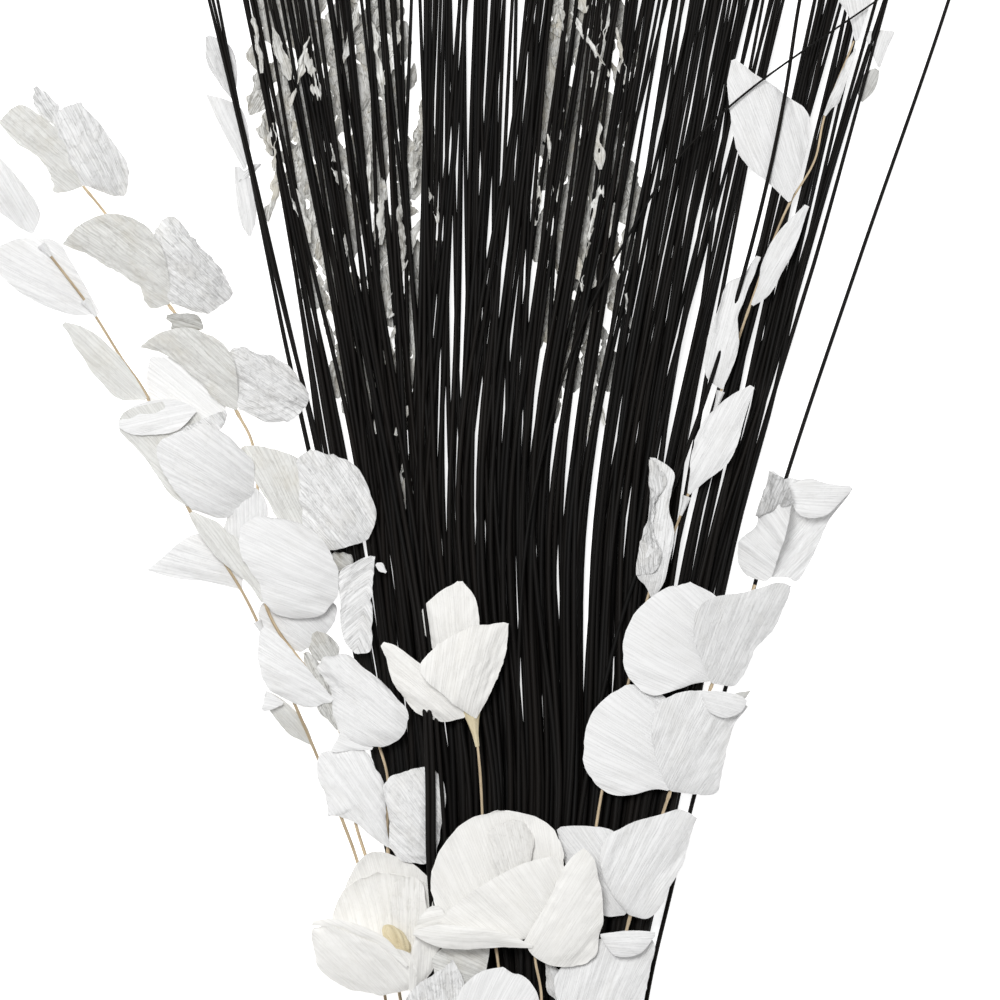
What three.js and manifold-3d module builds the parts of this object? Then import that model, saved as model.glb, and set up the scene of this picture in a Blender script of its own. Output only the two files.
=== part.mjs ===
// A loose bunch of long black stems with five sprays of white papery leaves and three papery
// flowers, laid down on a flat surface. Millimetres, +Z up, +Y from the cut ends to the tips.

import * as THREE from 'three';
import { mergeVertices } from 'three/addons/utils/BufferGeometryUtils.js';
import Module from 'manifold-3d';

// ---------------------------------------------------------------- driving dimensions

const CUT_Y = -585;               // where the stems are cut
const TIP_YS = [565, 600, 635, 620, 640, 590]; // tips of the stem clumps, left to right
const HEAP_GAP = 0.6;             // between neighbouring stem clumps
const HEAP_EDGE = 0.45;           // height of the heap's edge as a share of its middle
const LIFT = 9;                   // height of the hidden sprays that the stems lie on
const CLUMP_STEPS = 14;
const CLUMP_COLUMNS = 3;

const SHEET_THICKNESS = 1.0;      // of a leaf or petal
const SHEET_ROWS = 6;
const SHEET_COLUMNS = 4;
const SLOPE_STEP = 0.02;          // share of a sheet over which its slope is taken
const RIM = 0.99;                 // share of a sheet past which a point is on its rim
const BASE_HALF_WIDTH = 1.2;      // of a leaf where it meets its twig
const TIP_HALF_WIDTH = 2.0;

const TUBE_SIDES = 6;
const TWIG_RADIUS = 1.4;
const LOOSE_STEM_RADIUS = 1.9;
const TUBE_EXTRA_STEPS = 6;       // of a stem, beyond one for each point of its path
const CALYX_FOOT = [-18, -196, 38];
const CALYX_RADIUS = 7;
const CALYX_LENGTH = 26;
const CALYX_WALL = 0.2;           // of the calyx outside the stem, at its foot
const CALYX_FLARE_AT = 0.55;      // share of the calyx's length where it starts to flare
const CALYX_FLARE = 0.6;          // its radius there, as a share of its widest
const CALYX_SIDES = 8;
const CONE_SIDES = 10;
const CLEARANCE = 0.35;           // kept between pieces that come close
const MERGE_DISTANCE = 1e-4;      // between vertices that are the same one
const CUT_TOLERANCE = 0.01;       // for tidying the edges that a cut leaves

// The fan's outline, as [y, x] from the cut ends to the tips.
const LEFT_EDGE = [[-585, -35], [-400, -48], [-288, -53], [40, -156], [200, -190], [400, -236], [640, -302]];
const RIGHT_EDGE = [[-585, 90], [-400, 111], [-308, 130], [-75, 181], [0, 198], [400, 316], [640, 387]];
// The height of the heap's top along its middle, and of its underside, as [y, z].
const HEAP_TOP = [[-585, 54], [-400, 44], [-200, 34], [0, 27], [150, 24], [400, 18], [640, 4]];
const HEAP_UNDER = [[-585, 0], [-100, 0], [60, LIFT], [450, LIFT], [640, 0]];

// ---------------------------------------------------------------- finishes

const finish = (color, roughness) => () => new THREE.MeshStandardMaterial({ color, roughness, metalness: 0 });
const BLACK_STEM = finish(0x191918, 0.55);
const BROWN_TWIG = finish(0xcdb68b, 0.7);
const WHITE_LEAF = finish(0xe7e8eb, 0.85);
const GREY_LEAF = finish(0xcbcbc6, 0.85);
const WHITE_PETAL = finish(0xe8e8e6, 0.8);
const CREAM_CONE = finish(0xd0c2a1, 0.75);

// ---------------------------------------------------------------- leaves and petals
// Each sheet runs from its base to its tip between a left and a right edge, and rises in its
// middle. Points are [x, y, z]; left is the left hand of someone who looks from base to tip.

const SHEETS = {
  // outer left spray
  outer_leaf_1: {
    finish: WHITE_LEAF, base: [-375, 214, 14], tip: [-418, 284, 6], rise: 8,
    left: [[-391, 222, 5], [-408, 240, 4]],
    right: [[-369, 230, 10], [-384, 255, 14], [-399, 272, 12]],
  },
  outer_leaf_2: {
    finish: WHITE_LEAF, base: [-322, 150, 6], tip: [-413, 198, 3], rise: 2,
    left: [[-344, 149, 3], [-380, 163, 2], [-403, 182, 2]],
    right: [[-333, 172, 6], [-345, 193, 6], [-356, 208, 5], [-387, 210, 3]],
  },
  outer_leaf_3: {
    finish: GREY_LEAF, base: [-284, 81, 13], tip: [-351, 142, 4], rise: 5,
    left: [[-310, 83, 4], [-333, 111, 3]],
    right: [[-293, 99, 14], [-308, 119, 16], [-334, 139, 8]],
  },
  outer_leaf_4: {
    finish: GREY_LEAF, base: [-250, -5, 13], tip: [-262, 80, 22], rise: 3,
    left: [[-264, 4, 12], [-284, 33, 13], [-306, 59, 16], [-300, 71, 22]],
    right: [[-247, 12, 14], [-243, 40, 15], [-240, 66, 18]],
  },
  outer_leaf_5: {
    finish: WHITE_LEAF, base: [-246, -8, 17], tip: [-238, 61, 36], rise: 12,
    left: [[-264, 14, 26], [-275, 42, 34]],
    right: [[-222, -14, 14], [-200, 2, 14], [-197, 26, 20], [-209, 43, 26], [-223, 55, 32]],
  },
  outer_leaf_6: {
    finish: WHITE_LEAF, base: [-190, -102, 14], tip: [-134, -161, 18], rise: 8,
    left: [[-184, -104, 16], [-174, -112, 18], [-158, -130, 20], [-144, -146, 20]],
    right: [[-194, -110, 11], [-194, -126, 10], [-190, -146, 10], [-184, -154, 11], [-170, -162, 13],
      [-152, -165, 15]],
  },
  // inner left spray
  inner_leaf_1: {
    finish: GREY_LEAF, base: [-335, 252, 15], tip: [-402, 305, 8], rise: 4,
    left: [[-349, 247, 8], [-359, 247, 6], [-363, 265, 7], [-374, 277, 7], [-390, 287, 6]],
    right: [[-338, 276, 22], [-352, 294, 26], [-370, 309, 22], [-385, 317, 14]],
  },
  inner_leaf_2: {
    finish: WHITE_LEAF, base: [-333, 252, 16], tip: [-337, 318, 30], rise: 10,
    left: [[-345, 270, 20], [-358, 296, 22], [-356, 309, 24]],
    right: [[-318, 247, 10], [-303, 243, 8], [-298, 256, 8], [-300, 270, 10], [-312, 289, 17],
      [-324, 306, 24]],
  },
  inner_leaf_3: {
    finish: GREY_LEAF, base: [-265, 158, 15], tip: [-351, 207, 8], rise: 4,
    left: [[-281, 154, 8], [-294, 174, 10], [-310, 183, 11], [-331, 196, 10], [-347, 203, 8]],
    right: [[-265, 176, 22], [-270, 200, 34], [-283, 219, 38], [-308, 229, 32], [-332, 224, 20]],
  },
  inner_leaf_4: {
    finish: WHITE_LEAF, base: [-262, 157, 17], tip: [-264, 227, 20], rise: 11,
    left: [[-272, 175, 16], [-282, 200, 20], [-278, 216, 22]],
    right: [[-236, 150, 8], [-215, 164, 8], [-221, 181, 14], [-233, 197, 20], [-248, 215, 22]],
  },
  inner_leaf_5: {
    finish: GREY_LEAF, base: [-211, 73, 14], tip: [-288, 124, 10], rise: 3,
    left: [[-226, 78, 12], [-240, 93, 13], [-256, 109, 12], [-273, 118, 10]],
    right: [[-210, 90, 23], [-213, 110, 34], [-223, 126, 38], [-246, 137, 34], [-270, 135, 22]],
  },
  inner_leaf_6: {
    finish: WHITE_LEAF, base: [-208, 72, 17], tip: [-204, 122, 22], rise: 9,
    left: [[-216, 95, 16], [-226, 112, 20], [-216, 121, 21]],
    right: [[-183, 62, 15], [-162, 68, 17], [-153, 79, 20], [-163, 101, 22], [-180, 115, 22]],
  },
  inner_leaf_7: {
    finish: WHITE_LEAF, base: [-160, -40, 17], tip: [-150, 40, 24], rise: 8,
    left: [[-158, -10, 18], [-163, 20, 18], [-162, 33, 20]],
    right: [[-134, -40, 24], [-107, -32, 29], [-99, -14, 30], [-103, 2, 29], [-113, 25, 26], [-132, 37, 25]],
  },
  inner_leaf_8: {
    finish: GREY_LEAF, base: [-190, -82, 16], tip: [-248, -10, 17], rise: 2,
    left: [[-200, -70, 14], [-214, -56, 14], [-226, -46, 15], [-234, -36, 15], [-246, -18, 16]],
    right: [[-190, -72, 18], [-200, -48, 21], [-208, -32, 23], [-218, -26, 23], [-226, -18, 22],
      [-238, -13, 20]],
  },
  inner_leaf_9: {
    finish: WHITE_LEAF, base: [-188, -83, 18], tip: [-182, -14, 30], rise: 10,
    left: [[-194, -66, 24], [-206, -46, 29], [-209, -32, 31], [-208, -22, 31], [-200, -16, 30]],
    right: [[-182, -90, 18], [-166, -95, 19], [-150, -94, 22], [-136, -86, 25], [-130, -74, 27],
      [-129, -58, 29], [-134, -46, 30], [-144, -30, 30], [-160, -18, 30]],
  },
  inner_leaf_10: {
    finish: WHITE_LEAF, base: [-128, -186, 18], tip: [-140, -126, 17], rise: 11,
    left: [[-134, -168, 16], [-136, -152, 15], [-142, -144, 14], [-148, -134, 15]],
    right: [[-118, -194, 22], [-98, -198, 27], [-88, -196, 29], [-75, -184, 31], [-74, -170, 31],
      [-82, -160, 31], [-94, -146, 29], [-110, -134, 26], [-120, -125, 22]],
  },
  // short left spray
  short_leaf_1: {
    finish: WHITE_LEAF, base: [-115, -123, 25], tip: [-102, -45, 31], rise: -3,
    left: [[-124, -114, 24], [-127, -104, 24], [-128, -80, 25], [-128, -58, 26], [-118, -50, 28]],
    right: [[-104, -121, 28], [-103, -98, 29], [-102, -64, 30]],
  },
  short_leaf_2: {
    finish: WHITE_LEAF, base: [-89, -278, 18], tip: [-128, -199, 15], rise: 7,
    left: [[-104, -269, 17], [-118, -258, 14], [-130, -253, 11], [-139, -255, 9], [-139, -240, 10],
      [-146, -224, 10], [-147, -213, 11], [-144, -203, 12]],
    right: [[-91, -262, 20], [-92, -240, 22], [-94, -224, 24], [-100, -214, 24], [-103, -206, 23],
      [-111, -199, 20]],
  },
  short_leaf_3: {
    finish: WHITE_LEAF, base: [-88, -279, 21], tip: [-54, -214, 35], rise: 5,
    left: [[-89, -264, 25], [-92, -243, 27], [-94, -229, 29], [-88, -222, 31], [-80, -218, 33],
      [-67, -214, 34]],
    right: [[-80, -288, 25], [-67, -291, 29], [-54, -290, 33], [-50, -278, 35], [-46, -258, 35],
      [-43, -240, 36], [-46, -222, 36]],
  },
  // back right spray
  back_leaf_1: {
    finish: WHITE_LEAF, base: [122, -78, 32], tip: [122, 34, 33], rise: 3,
    left: [[116, -68, 32], [109, -61, 32], [110, -50, 33], [113, -29, 33], [119, -5, 32], [119, 16, 32]],
    right: [[131, -66, 37], [135, -50, 40], [139, -32, 42], [139, -22, 42], [135, -8, 42], [137, 8, 41],
      [139, 22, 39]],
  },
  back_leaf_2: {
    finish: WHITE_LEAF, base: [151, 5, 29], tip: [202, 91, 27], rise: 4,
    left: [[152, 22, 30], [154, 40, 30], [164, 64, 29], [181, 80, 28]],
    right: [[167, 17, 34], [182, 29, 36], [190, 46, 36], [198, 72, 32]],
  },
  back_leaf_3: {
    finish: WHITE_LEAF, base: [177, 89, 27], tip: [207, 195, 24], rise: 4,
    left: [[165, 99, 27], [166, 130, 28], [174, 155, 28], [181, 173, 28], [195, 182, 26]],
    right: [[185, 104, 30], [191, 122, 32], [190, 145, 32], [197, 166, 29]],
  },
  back_leaf_4: {
    finish: WHITE_LEAF, base: [202, 156, 26], tip: [246, 236, 25], rise: 3,
    left: [[206, 172, 29], [210, 193, 31], [220, 212, 30], [233, 226, 28]],
    right: [[215, 164, 31], [228, 186, 31], [240, 213, 28]],
  },
  back_leaf_5: {
    finish: WHITE_LEAF, base: [232, 239, 23], tip: [187, 353, 23], rise: 5,
    left: [[217, 252, 24], [192, 275, 26], [185, 306, 26], [182, 334, 25]],
    right: [[238, 254, 23], [247, 284, 22], [248, 308, 21], [228, 326, 23], [204, 341, 23]],
  },
  // front right spray
  front_leaf_1: {
    finish: WHITE_LEAF, base: [212, -65, 22], tip: [217, 23, 30], rise: 3,
    left: [[197, -60, 19], [191, -51, 19], [190, -40, 20], [195, -29, 22], [205, -19, 27], [206, -9, 29],
      [211, 8, 30]],
    right: [[217, -62, 24], [222, -47, 30], [228, -29, 36], [232, -9, 39], [233, 0, 40], [228, 15, 36]],
  },
  front_leaf_2: {
    finish: WHITE_LEAF, base: [217, -61, 21], tip: [281, 10, 22], rise: -4,
    left: [[214, -48, 20], [219, -30, 21], [222, -10, 23], [223, 4, 24], [228, 16, 26], [246, 15, 26],
      [256, 11, 25], [264, 7, 24]],
    right: [[230, -62, 18], [238, -65, 16], [246, -54, 15], [256, -34, 15], [264, -16, 17], [278, 2, 20]],
  },
  front_leaf_3: {
    finish: WHITE_LEAF, base: [167, -145, 28], tip: [150, -66, 38], rise: 4,
    left: [[154, -147, 34], [134, -154, 41], [122, -156, 42], [110, -150, 43], [100, -136, 44],
      [98, -120, 44], [100, -106, 43], [108, -90, 42], [120, -78, 41], [134, -70, 40]],
    right: [[174, -124, 28], [178, -96, 30], [173, -77, 33], [162, -70, 36]],
  },
  front_leaf_4: {
    finish: WHITE_LEAF, base: [169, -146, 31], tip: [231, -68, 30], rise: 4,
    left: [[162, -130, 36], [155, -110, 41], [155, -96, 43], [160, -84, 44], [173, -77, 43],
      [192, -74, 39], [208, -70, 35], [222, -66, 32]],
    right: [[178, -148, 28], [188, -149, 26], [198, -136, 25], [206, -118, 24], [216, -108, 24],
      [224, -96, 25], [232, -76, 27]],
  },
  front_leaf_5: {
    finish: WHITE_LEAF, base: [135, -232, 33], tip: [102, -148, 37], rise: 3,
    left: [[125, -231, 35], [101, -236, 40], [88, -235, 41], [75, -225, 42], [67, -211, 42],
      [67, -197, 42], [69, -181, 41], [75, -168, 40], [88, -155, 39]],
    right: [[142, -212, 31], [144, -190, 32], [138, -165, 33], [122, -150, 35]],
  },
  front_leaf_6: {
    finish: WHITE_LEAF, base: [136, -232, 36], tip: [197, -164, 32], rise: 4,
    left: [[129, -219, 40], [124, -203, 42], [121, -187, 43], [123, -173, 42], [129, -161, 41],
      [140, -155, 39], [160, -152, 36], [181, -158, 34]],
    right: [[154, -235, 34], [173, -235, 32], [178, -214, 30], [184, -192, 30], [190, -176, 30]],
  },
  front_leaf_7: {
    finish: WHITE_LEAF, base: [103, -331, 43], tip: [156, -253, 38], rise: 4,
    left: [[88, -312, 48], [80, -288, 50], [84, -270, 50], [96, -262, 49], [109, -256, 48],
      [128, -251, 45], [144, -247, 41]],
    right: [[118, -334, 42], [130, -322, 40], [136, -308, 38], [148, -287, 36], [154, -266, 36]],
  },
  front_leaf_8: {
    finish: WHITE_LEAF, base: [80, -424, 50], tip: [116, -346, 46], rise: 4,
    left: [[50, -408, 52], [44, -380, 52], [62, -362, 52], [82, -349, 50]],
    right: [[102, -426, 47], [114, -400, 43], [121, -372, 41], [123, -354, 43]],
  },
  // bud flower
  bud_petal_1: {
    finish: WHITE_PETAL, base: [-25, -166, 38], tip: [-32, -65, 36], rise: 3,
    left: [[-46, -134, 36], [-64, -92, 34], [-50, -75, 34]],
    right: [[-13, -140, 38], [-16, -100, 37], [-20, -78, 36]],
  },
  bud_petal_2: {
    finish: WHITE_PETAL, base: [-28, -173, 42], tip: [-94, -115, 38], rise: 3,
    left: [[-46, -177, 38], [-69, -169, 36], [-87, -140, 36]],
    right: [[-37, -151, 49], [-66, -129, 46], [-84, -116, 42]],
  },
  bud_petal_3: {
    finish: WHITE_PETAL, base: [-20, -174, 44], tip: [5, -98, 46], rise: 6,
    left: [[-40, -160, 53], [-64, -134, 56], [-46, -113, 54], [-22, -101, 51]],
    right: [[-10, -158, 44], [2, -131, 44], [6, -112, 44]],
  },
  // open flower
  open_petal_1: {
    finish: WHITE_PETAL, base: [28, -342, 54], tip: [3, -248, 49], rise: -4,
    left: [[0, -344, 53], [-24, -340, 51], [-40, -334, 50], [-51, -325, 49], [-55, -309, 48],
      [-53, -291, 48], [-45, -275, 48], [-32, -260, 48], [-19, -252, 48]],
    right: [[45, -325, 53], [48, -301, 54], [51, -288, 54], [49, -275, 54], [40, -260, 53],
      [24, -251, 51]],
  },
  open_petal_2: {
    finish: WHITE_PETAL, base: [26, -348, 57], tip: [44, -284, 62], rise: 2,
    left: [[2, -354, 57], [-24, -350, 56], [-44, -343, 55], [-46, -334, 56], [-29, -317, 59],
      [-8, -303, 61], [19, -289, 62]],
    right: [[42, -328, 59], [52, -310, 59], [51, -292, 60]],
  },
  open_petal_3: {
    finish: WHITE_PETAL, base: [20, -352, 62], tip: [68, -278, 66], rise: 6,
    left: [[28, -336, 63], [38, -320, 65], [44, -306, 67], [55, -286, 67]],
    right: [[24, -360, 60], [34, -368, 58], [50, -372, 57], [66, -370, 57], [76, -362, 58],
      [80, -346, 59], [82, -326, 61], [80, -304, 63], [74, -285, 65]],
  },
  open_petal_4: {
    finish: WHITE_PETAL, base: [26, -355, 64], tip: [-69, -345, 58], rise: 3,
    left: [[-8, -357, 62], [-30, -358, 61], [-50, -356, 60]],
    right: [[-2, -343, 67], [-30, -339, 68], [-50, -338, 64]],
  },
  // side flower
  side_petal_1: {
    finish: WHITE_PETAL, base: [-75, -385, 32], tip: [-96, -299, 28], rise: -6,
    left: [[-110, -362, 22], [-134, -340, 20], [-132, -326, 22], [-124, -312, 24], [-112, -303, 26]],
    right: [[-62, -352, 36], [-54, -322, 36], [-58, -309, 35], [-74, -301, 32]],
  },
  side_petal_2: {
    finish: WHITE_PETAL, base: [-73, -391, 35], tip: [-150, -344, 32], rise: 6,
    left: [[-98, -396, 28], [-128, -390, 22], [-146, -376, 20], [-149, -358, 24]],
    right: [[-66, -378, 44], [-72, -362, 49], [-94, -355, 52], [-115, -347, 52], [-136, -339, 46]],
  },
};

// ---------------------------------------------------------------- twigs, flower stems, loose stems
// Each is a round stem along a smooth line of [x, y, z] points, from its top to its cut end.

const TWIGS = {
  outer_twig: {
    finish: BROWN_TWIG, radius: TWIG_RADIUS,
    path: [[-368, 205, 11], [-330, 156, 10.5], [-304, 114, 10], [-284, 84, 10], [-260, 12, 10],
      [-248, -10, 10], [-208, -72, 10], [-193, -101, 10], [-150, -199, 8], [-126, -258, 6],
      [-114, -292, 5], [-92, -400, 4], [-66, -585, 3]],
  },
  inner_twig: {
    finish: BROWN_TWIG, radius: TWIG_RADIUS,
    path: [[-331, 246, 12], [-316, 229, 12], [-264, 154, 11], [-250, 136, 11], [-210, 69, 11],
      [-198, 44, 11], [-187, -86, 12], [-153, -139, 12], [-130, -182, 11], [-116, -258, 8],
      [-106, -292, 6], [-80, -400, 4], [-56, -585, 3]],
  },
  short_twig: {
    finish: BROWN_TWIG, radius: TWIG_RADIUS,
    path: [[-120, -129, 17], [-108, -170, 13], [-97, -198, 11], [-90, -222, 11], [-90, -282, 11],
      [-66, -400, 6], [-46, -585, 4]],
  },
  back_twig: {
    finish: BROWN_TWIG, radius: TWIG_RADIUS,
    path: [[284, 368, 15.5], [260, 308, 17], [252, 272, 18], [230, 233, 19.5], [198, 150, 22],
      [176, 84, 24], [149, 0, 26], [138, -28, 27], [120, -72, 29], [103, -146, 32], [81, -234, 37],
      [70, -330, 42], [66, -400, 44.5], [28, -585, 57]],
  },
  front_twig: {
    finish: BROWN_TWIG, radius: TWIG_RADIUS,
    path: [[204, -68, 20], [169, -149, 23], [135, -236, 29], [103, -335, 37.5], [88, -400, 41],
      [44, -585, 56]],
  },
  loose_stem_right: {
    finish: BLACK_STEM, radius: LOOSE_STEM_RADIUS,
    path: [[425, 615, 2.5], [360, 400, 2.5], [291, 200, 2.5], [230, 18, 2.5], [181, -152, 2.5],
      [156, -238, 2.5], [136, -320, 2.5], [121, -384, 2.5], [112, -440, 2.5], [97, -585, 2.5]],
  },
  loose_stem_across: {
    finish: BLACK_STEM, radius: LOOSE_STEM_RADIUS,
    path: [[330, 420, 22], [296, 396, 26], [191, 321, 33], [140, 270, 31], [107, 219, 29], [61, 128, 29],
      [26, 0, 31], [16, -96, 35], [15, -250, 41], [16, -400, 47.5], [0, -585, 57.5]],
  },
  bud_stem: {
    finish: BROWN_TWIG, radius: TWIG_RADIUS, calyx: true,
    path: [[-22, -168, 38], [-18, -192, 38], [-14, -252, 40], [-6, -330, 43], [0, -400, 47.5],
      [-13, -585, 57]],
  },
  open_stem: {
    finish: BROWN_TWIG, radius: TWIG_RADIUS,
    path: [[28, -364, 53], [33, -400, 50], [30, -470, 53], [12, -585, 57.5]],
  },
  side_stem: {
    finish: BROWN_TWIG, radius: TWIG_RADIUS,
    path: [[-70, -396, 30], [-66, -430, 24], [-56, -500, 22], [-44, -585, 20]],
  },
};

// Flat outlines, as [x, y], of the crumpled leaf sprays that lie under the stems.
const HIDDEN_SPRAYS = {
  hidden_spray_left: [[-148, 75], [-196, 215], [-212, 262], [-238, 325], [-234, 374], [-226, 430],
    [-120, 430], [-75, 300], [-62, 75]],
  hidden_spray_middle: [[44, 75], [30, 250], [42, 430], [112, 430], [118, 250], [92, 75]],
};
const HIDDEN_SPRAY_LOW = 0.6;
const HIDDEN_SPRAY_HEIGHT = 7;

// The cream cone of the side flower: radius and height along its axis, and where it stands.
const CONE_PROFILE = [[0, 0], [3, 0.5], [6.5, 6], [7.5, 13], [6.5, 20], [3.5, 26], [0, 28]];
const CONE_FOOT = [-73, -362, 37];
const CONE_TOP = [-93, -340, 40];

// ---------------------------------------------------------------- curves and heights

/** A smooth function through [position, value] pairs. */
function smoothThrough(pairs) {
  const positions = pairs.map((pair) => pair[0]);
  const values = pairs.map((pair) => pair[1]);
  const curve = new THREE.CubicInterpolant(positions, values, 1);
  return (position) => curve.evaluate(position)[0];
}

/** A straight-line function through [position, value] pairs. */
function straightThrough(pairs) {
  const positions = pairs.map((pair) => pair[0]);
  const values = pairs.map((pair) => pair[1]);
  const curve = new THREE.LinearInterpolant(positions, values, 1);
  return (position) => curve.evaluate(position)[0];
}

const leftEdge = straightThrough(LEFT_EDGE);
const rightEdge = straightThrough(RIGHT_EDGE);
const heapTop = smoothThrough(HEAP_TOP);
const heapUnder = straightThrough(HEAP_UNDER);

/** The heap's top at y and at the share `across` of the fan's width: highest in the middle. */
function topOfHeap(y, across) {
  const off = 2 * across - 1;
  const crown = HEAP_EDGE + (1 - HEAP_EDGE) * Math.sqrt(Math.max(0, 1 - off * off));
  return heapUnder(y) + (heapTop(y) - heapUnder(y)) * crown;
}

/** A curve from the base, along the given edge points, to the tip. */
function edgeCurve(start, points, end) {
  const all = [start, ...points.map((point) => new THREE.Vector3(...point)), end];
  return new THREE.CatmullRomCurve3(all, false, 'centripetal');
}

// ---------------------------------------------------------------- geometries

/** Drops everything but positions, and joins the vertices that share one. */
function bare(geometry) {
  geometry.deleteAttribute('normal');
  geometry.deleteAttribute('uv');
  return mergeVertices(geometry, MERGE_DISTANCE);
}

/** A thin curved sheet, a subdivided box bent between the two edge curves, grown all round. */
function sheetGeometry(sheet, grow) {
  const base = new THREE.Vector3(...sheet.base);
  const tip = new THREE.Vector3(...sheet.tip);
  const forward = tip.clone().sub(base).setZ(0).normalize();
  const leftward = new THREE.Vector3(-forward.y, forward.x, 0);
  const beside = (point, offset) => point.clone().addScaledVector(leftward, offset);
  const left = edgeCurve(beside(base, BASE_HALF_WIDTH), sheet.left, beside(tip, TIP_HALF_WIDTH));
  const right = edgeCurve(beside(base, -BASE_HALF_WIDTH), sheet.right, beside(tip, -TIP_HALF_WIDTH));

  const surface = (along, across) => {
    const held = THREE.MathUtils.clamp(along, 0, 1);
    const point = left.getPointAt(held).lerp(right.getPointAt(held), (across + 1) / 2);
    point.z += sheet.rise * (1 - across * across) * Math.sin(Math.PI * held);
    return point;
  };

  const geometry = new THREE.BoxGeometry(1, 1, 1, SHEET_COLUMNS, SHEET_ROWS, 1);
  const place = geometry.getAttribute('position');
  for (let i = 0; i < place.count; i += 1) {
    const across = 2 * place.getX(i);
    const along = place.getY(i) + 0.5;
    const side = 2 * place.getZ(i);
    const nextAhead = surface(Math.min(along + SLOPE_STEP, 1), across);
    const ahead = nextAhead.sub(surface(Math.max(along - SLOPE_STEP, 0), across));
    const nextAside = surface(along, Math.min(across + SLOPE_STEP, 1));
    const aside = nextAside.sub(surface(along, Math.max(across - SLOPE_STEP, -1)));
    const normal = aside.clone().cross(ahead).normalize();
    const point = surface(along, across).addScaledVector(normal, side * (SHEET_THICKNESS / 2 + grow));
    if (Math.abs(across) > RIM) point.addScaledVector(aside.normalize(), Math.sign(across) * grow);
    if (along < 1 - RIM) point.addScaledVector(forward, -grow);
    if (along > RIM) point.addScaledVector(forward, grow);
    place.setXYZ(i, point.x, point.y, point.z);
  }
  return bare(geometry);
}

/** A round stem along a smooth line. */
function stemGeometry(path, radius) {
  const outline = new THREE.Shape();
  for (let i = 0; i < TUBE_SIDES; i += 1) {
    const angle = (2 * Math.PI * i) / TUBE_SIDES;
    const x = radius * Math.cos(angle);
    const y = radius * Math.sin(angle);
    if (i === 0) outline.moveTo(x, y);
    else outline.lineTo(x, y);
  }
  outline.closePath();
  const extrudePath = new THREE.CatmullRomCurve3(path.map((point) => new THREE.Vector3(...point)));
  const steps = path.length + TUBE_EXTRA_STEPS;
  return bare(new THREE.ExtrudeGeometry(outline, { steps, extrudePath, bevelEnabled: false }));
}

/** A turned body whose foot stands at one point and whose axis looks at another. */
function turnedGeometry(profile, foot, top, sides) {
  const points = profile.map((point) => new THREE.Vector2(...point));
  const geometry = new THREE.LatheGeometry(points, sides);
  const start = new THREE.Vector3(...foot);
  const axis = new THREE.Vector3(...top).sub(start).normalize();
  geometry.applyQuaternion(new THREE.Quaternion().setFromUnitVectors(new THREE.Vector3(0, 1, 0), axis));
  geometry.translate(start.x, start.y, start.z);
  return bare(geometry);
}

/** One clump of stems: a long wedge of the heap, as wide as its share of the fan. */
function clumpGeometry(index, grow) {
  const count = TIP_YS.length;
  const geometry = new THREE.BoxGeometry(1, 1, 1, CLUMP_COLUMNS, CLUMP_STEPS, 1);
  const place = geometry.getAttribute('position');
  for (let i = 0; i < place.count; i += 1) {
    const y = THREE.MathUtils.lerp(CUT_Y, TIP_YS[index], place.getY(i) + 0.5);
    const across = (index + place.getX(i) + 0.5) / count;
    const inset = (HEAP_GAP / 2 - grow) * -2 * place.getX(i);
    const x = THREE.MathUtils.lerp(leftEdge(y), rightEdge(y), across) + inset;
    const z = place.getZ(i) > 0 ? topOfHeap(y, across) + grow : heapUnder(y) - grow;
    place.setXYZ(i, x, y, z);
  }
  return bare(geometry);
}

/** The flat body of a crumpled spray that lies under the stems, clear of all that is above it. */
function hiddenSprayGeometry(outline) {
  const shape = new THREE.Shape(outline.map((point) => new THREE.Vector2(...point)));
  const geometry = new THREE.ExtrudeGeometry(shape, { depth: HIDDEN_SPRAY_HEIGHT, bevelEnabled: false });
  geometry.translate(0, 0, HIDDEN_SPRAY_LOW);
  return bare(geometry);
}

// ---------------------------------------------------------------- cutting and joining

const wasm = await Module();
wasm.setup();

/** A closed geometry as a solid. */
function solidOf(geometry) {
  const vertProperties = new Float32Array(geometry.getAttribute('position').array);
  const triVerts = new Uint32Array(geometry.index.array);
  return new wasm.Manifold(new wasm.Mesh({ numProp: 3, vertProperties, triVerts }));
}

/** A solid back as a geometry. */
function geometryOf(solid) {
  const mesh = solid.getMesh();
  const geometry = new THREE.BufferGeometry();
  geometry.setAttribute('position', new THREE.BufferAttribute(new Float32Array(mesh.vertProperties), 3));
  geometry.setIndex(new THREE.BufferAttribute(new Uint32Array(mesh.triVerts), 1));
  return geometry;
}

/** The largest of a solid's separate pieces. */
function largestOf(solid) {
  return solid.decompose().reduce((best, next) => (next.volume() > best.volume() ? next : best));
}

/** Cuts each piece back from the grown bodies of the pieces before it that it reaches. */
function fitTogether(pieces) {
  const done = [];
  for (const piece of pieces) {
    let solid = solidOf(piece.shape(0));
    const box = new THREE.Box3().setFromBufferAttribute(geometryOf(solid).getAttribute('position'));
    for (const earlier of done) {
      if (!box.intersectsBox(earlier.box)) continue;
      const grown = solidOf(earlier.piece.shape(CLEARANCE));
      if (solid.intersect(grown).volume() === 0) continue;
      solid = largestOf(solid.subtract(grown)).simplify(CUT_TOLERANCE);
    }
    box.expandByScalar(CLEARANCE);
    done.push({ piece, box, solid });
  }
  return done;
}

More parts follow.
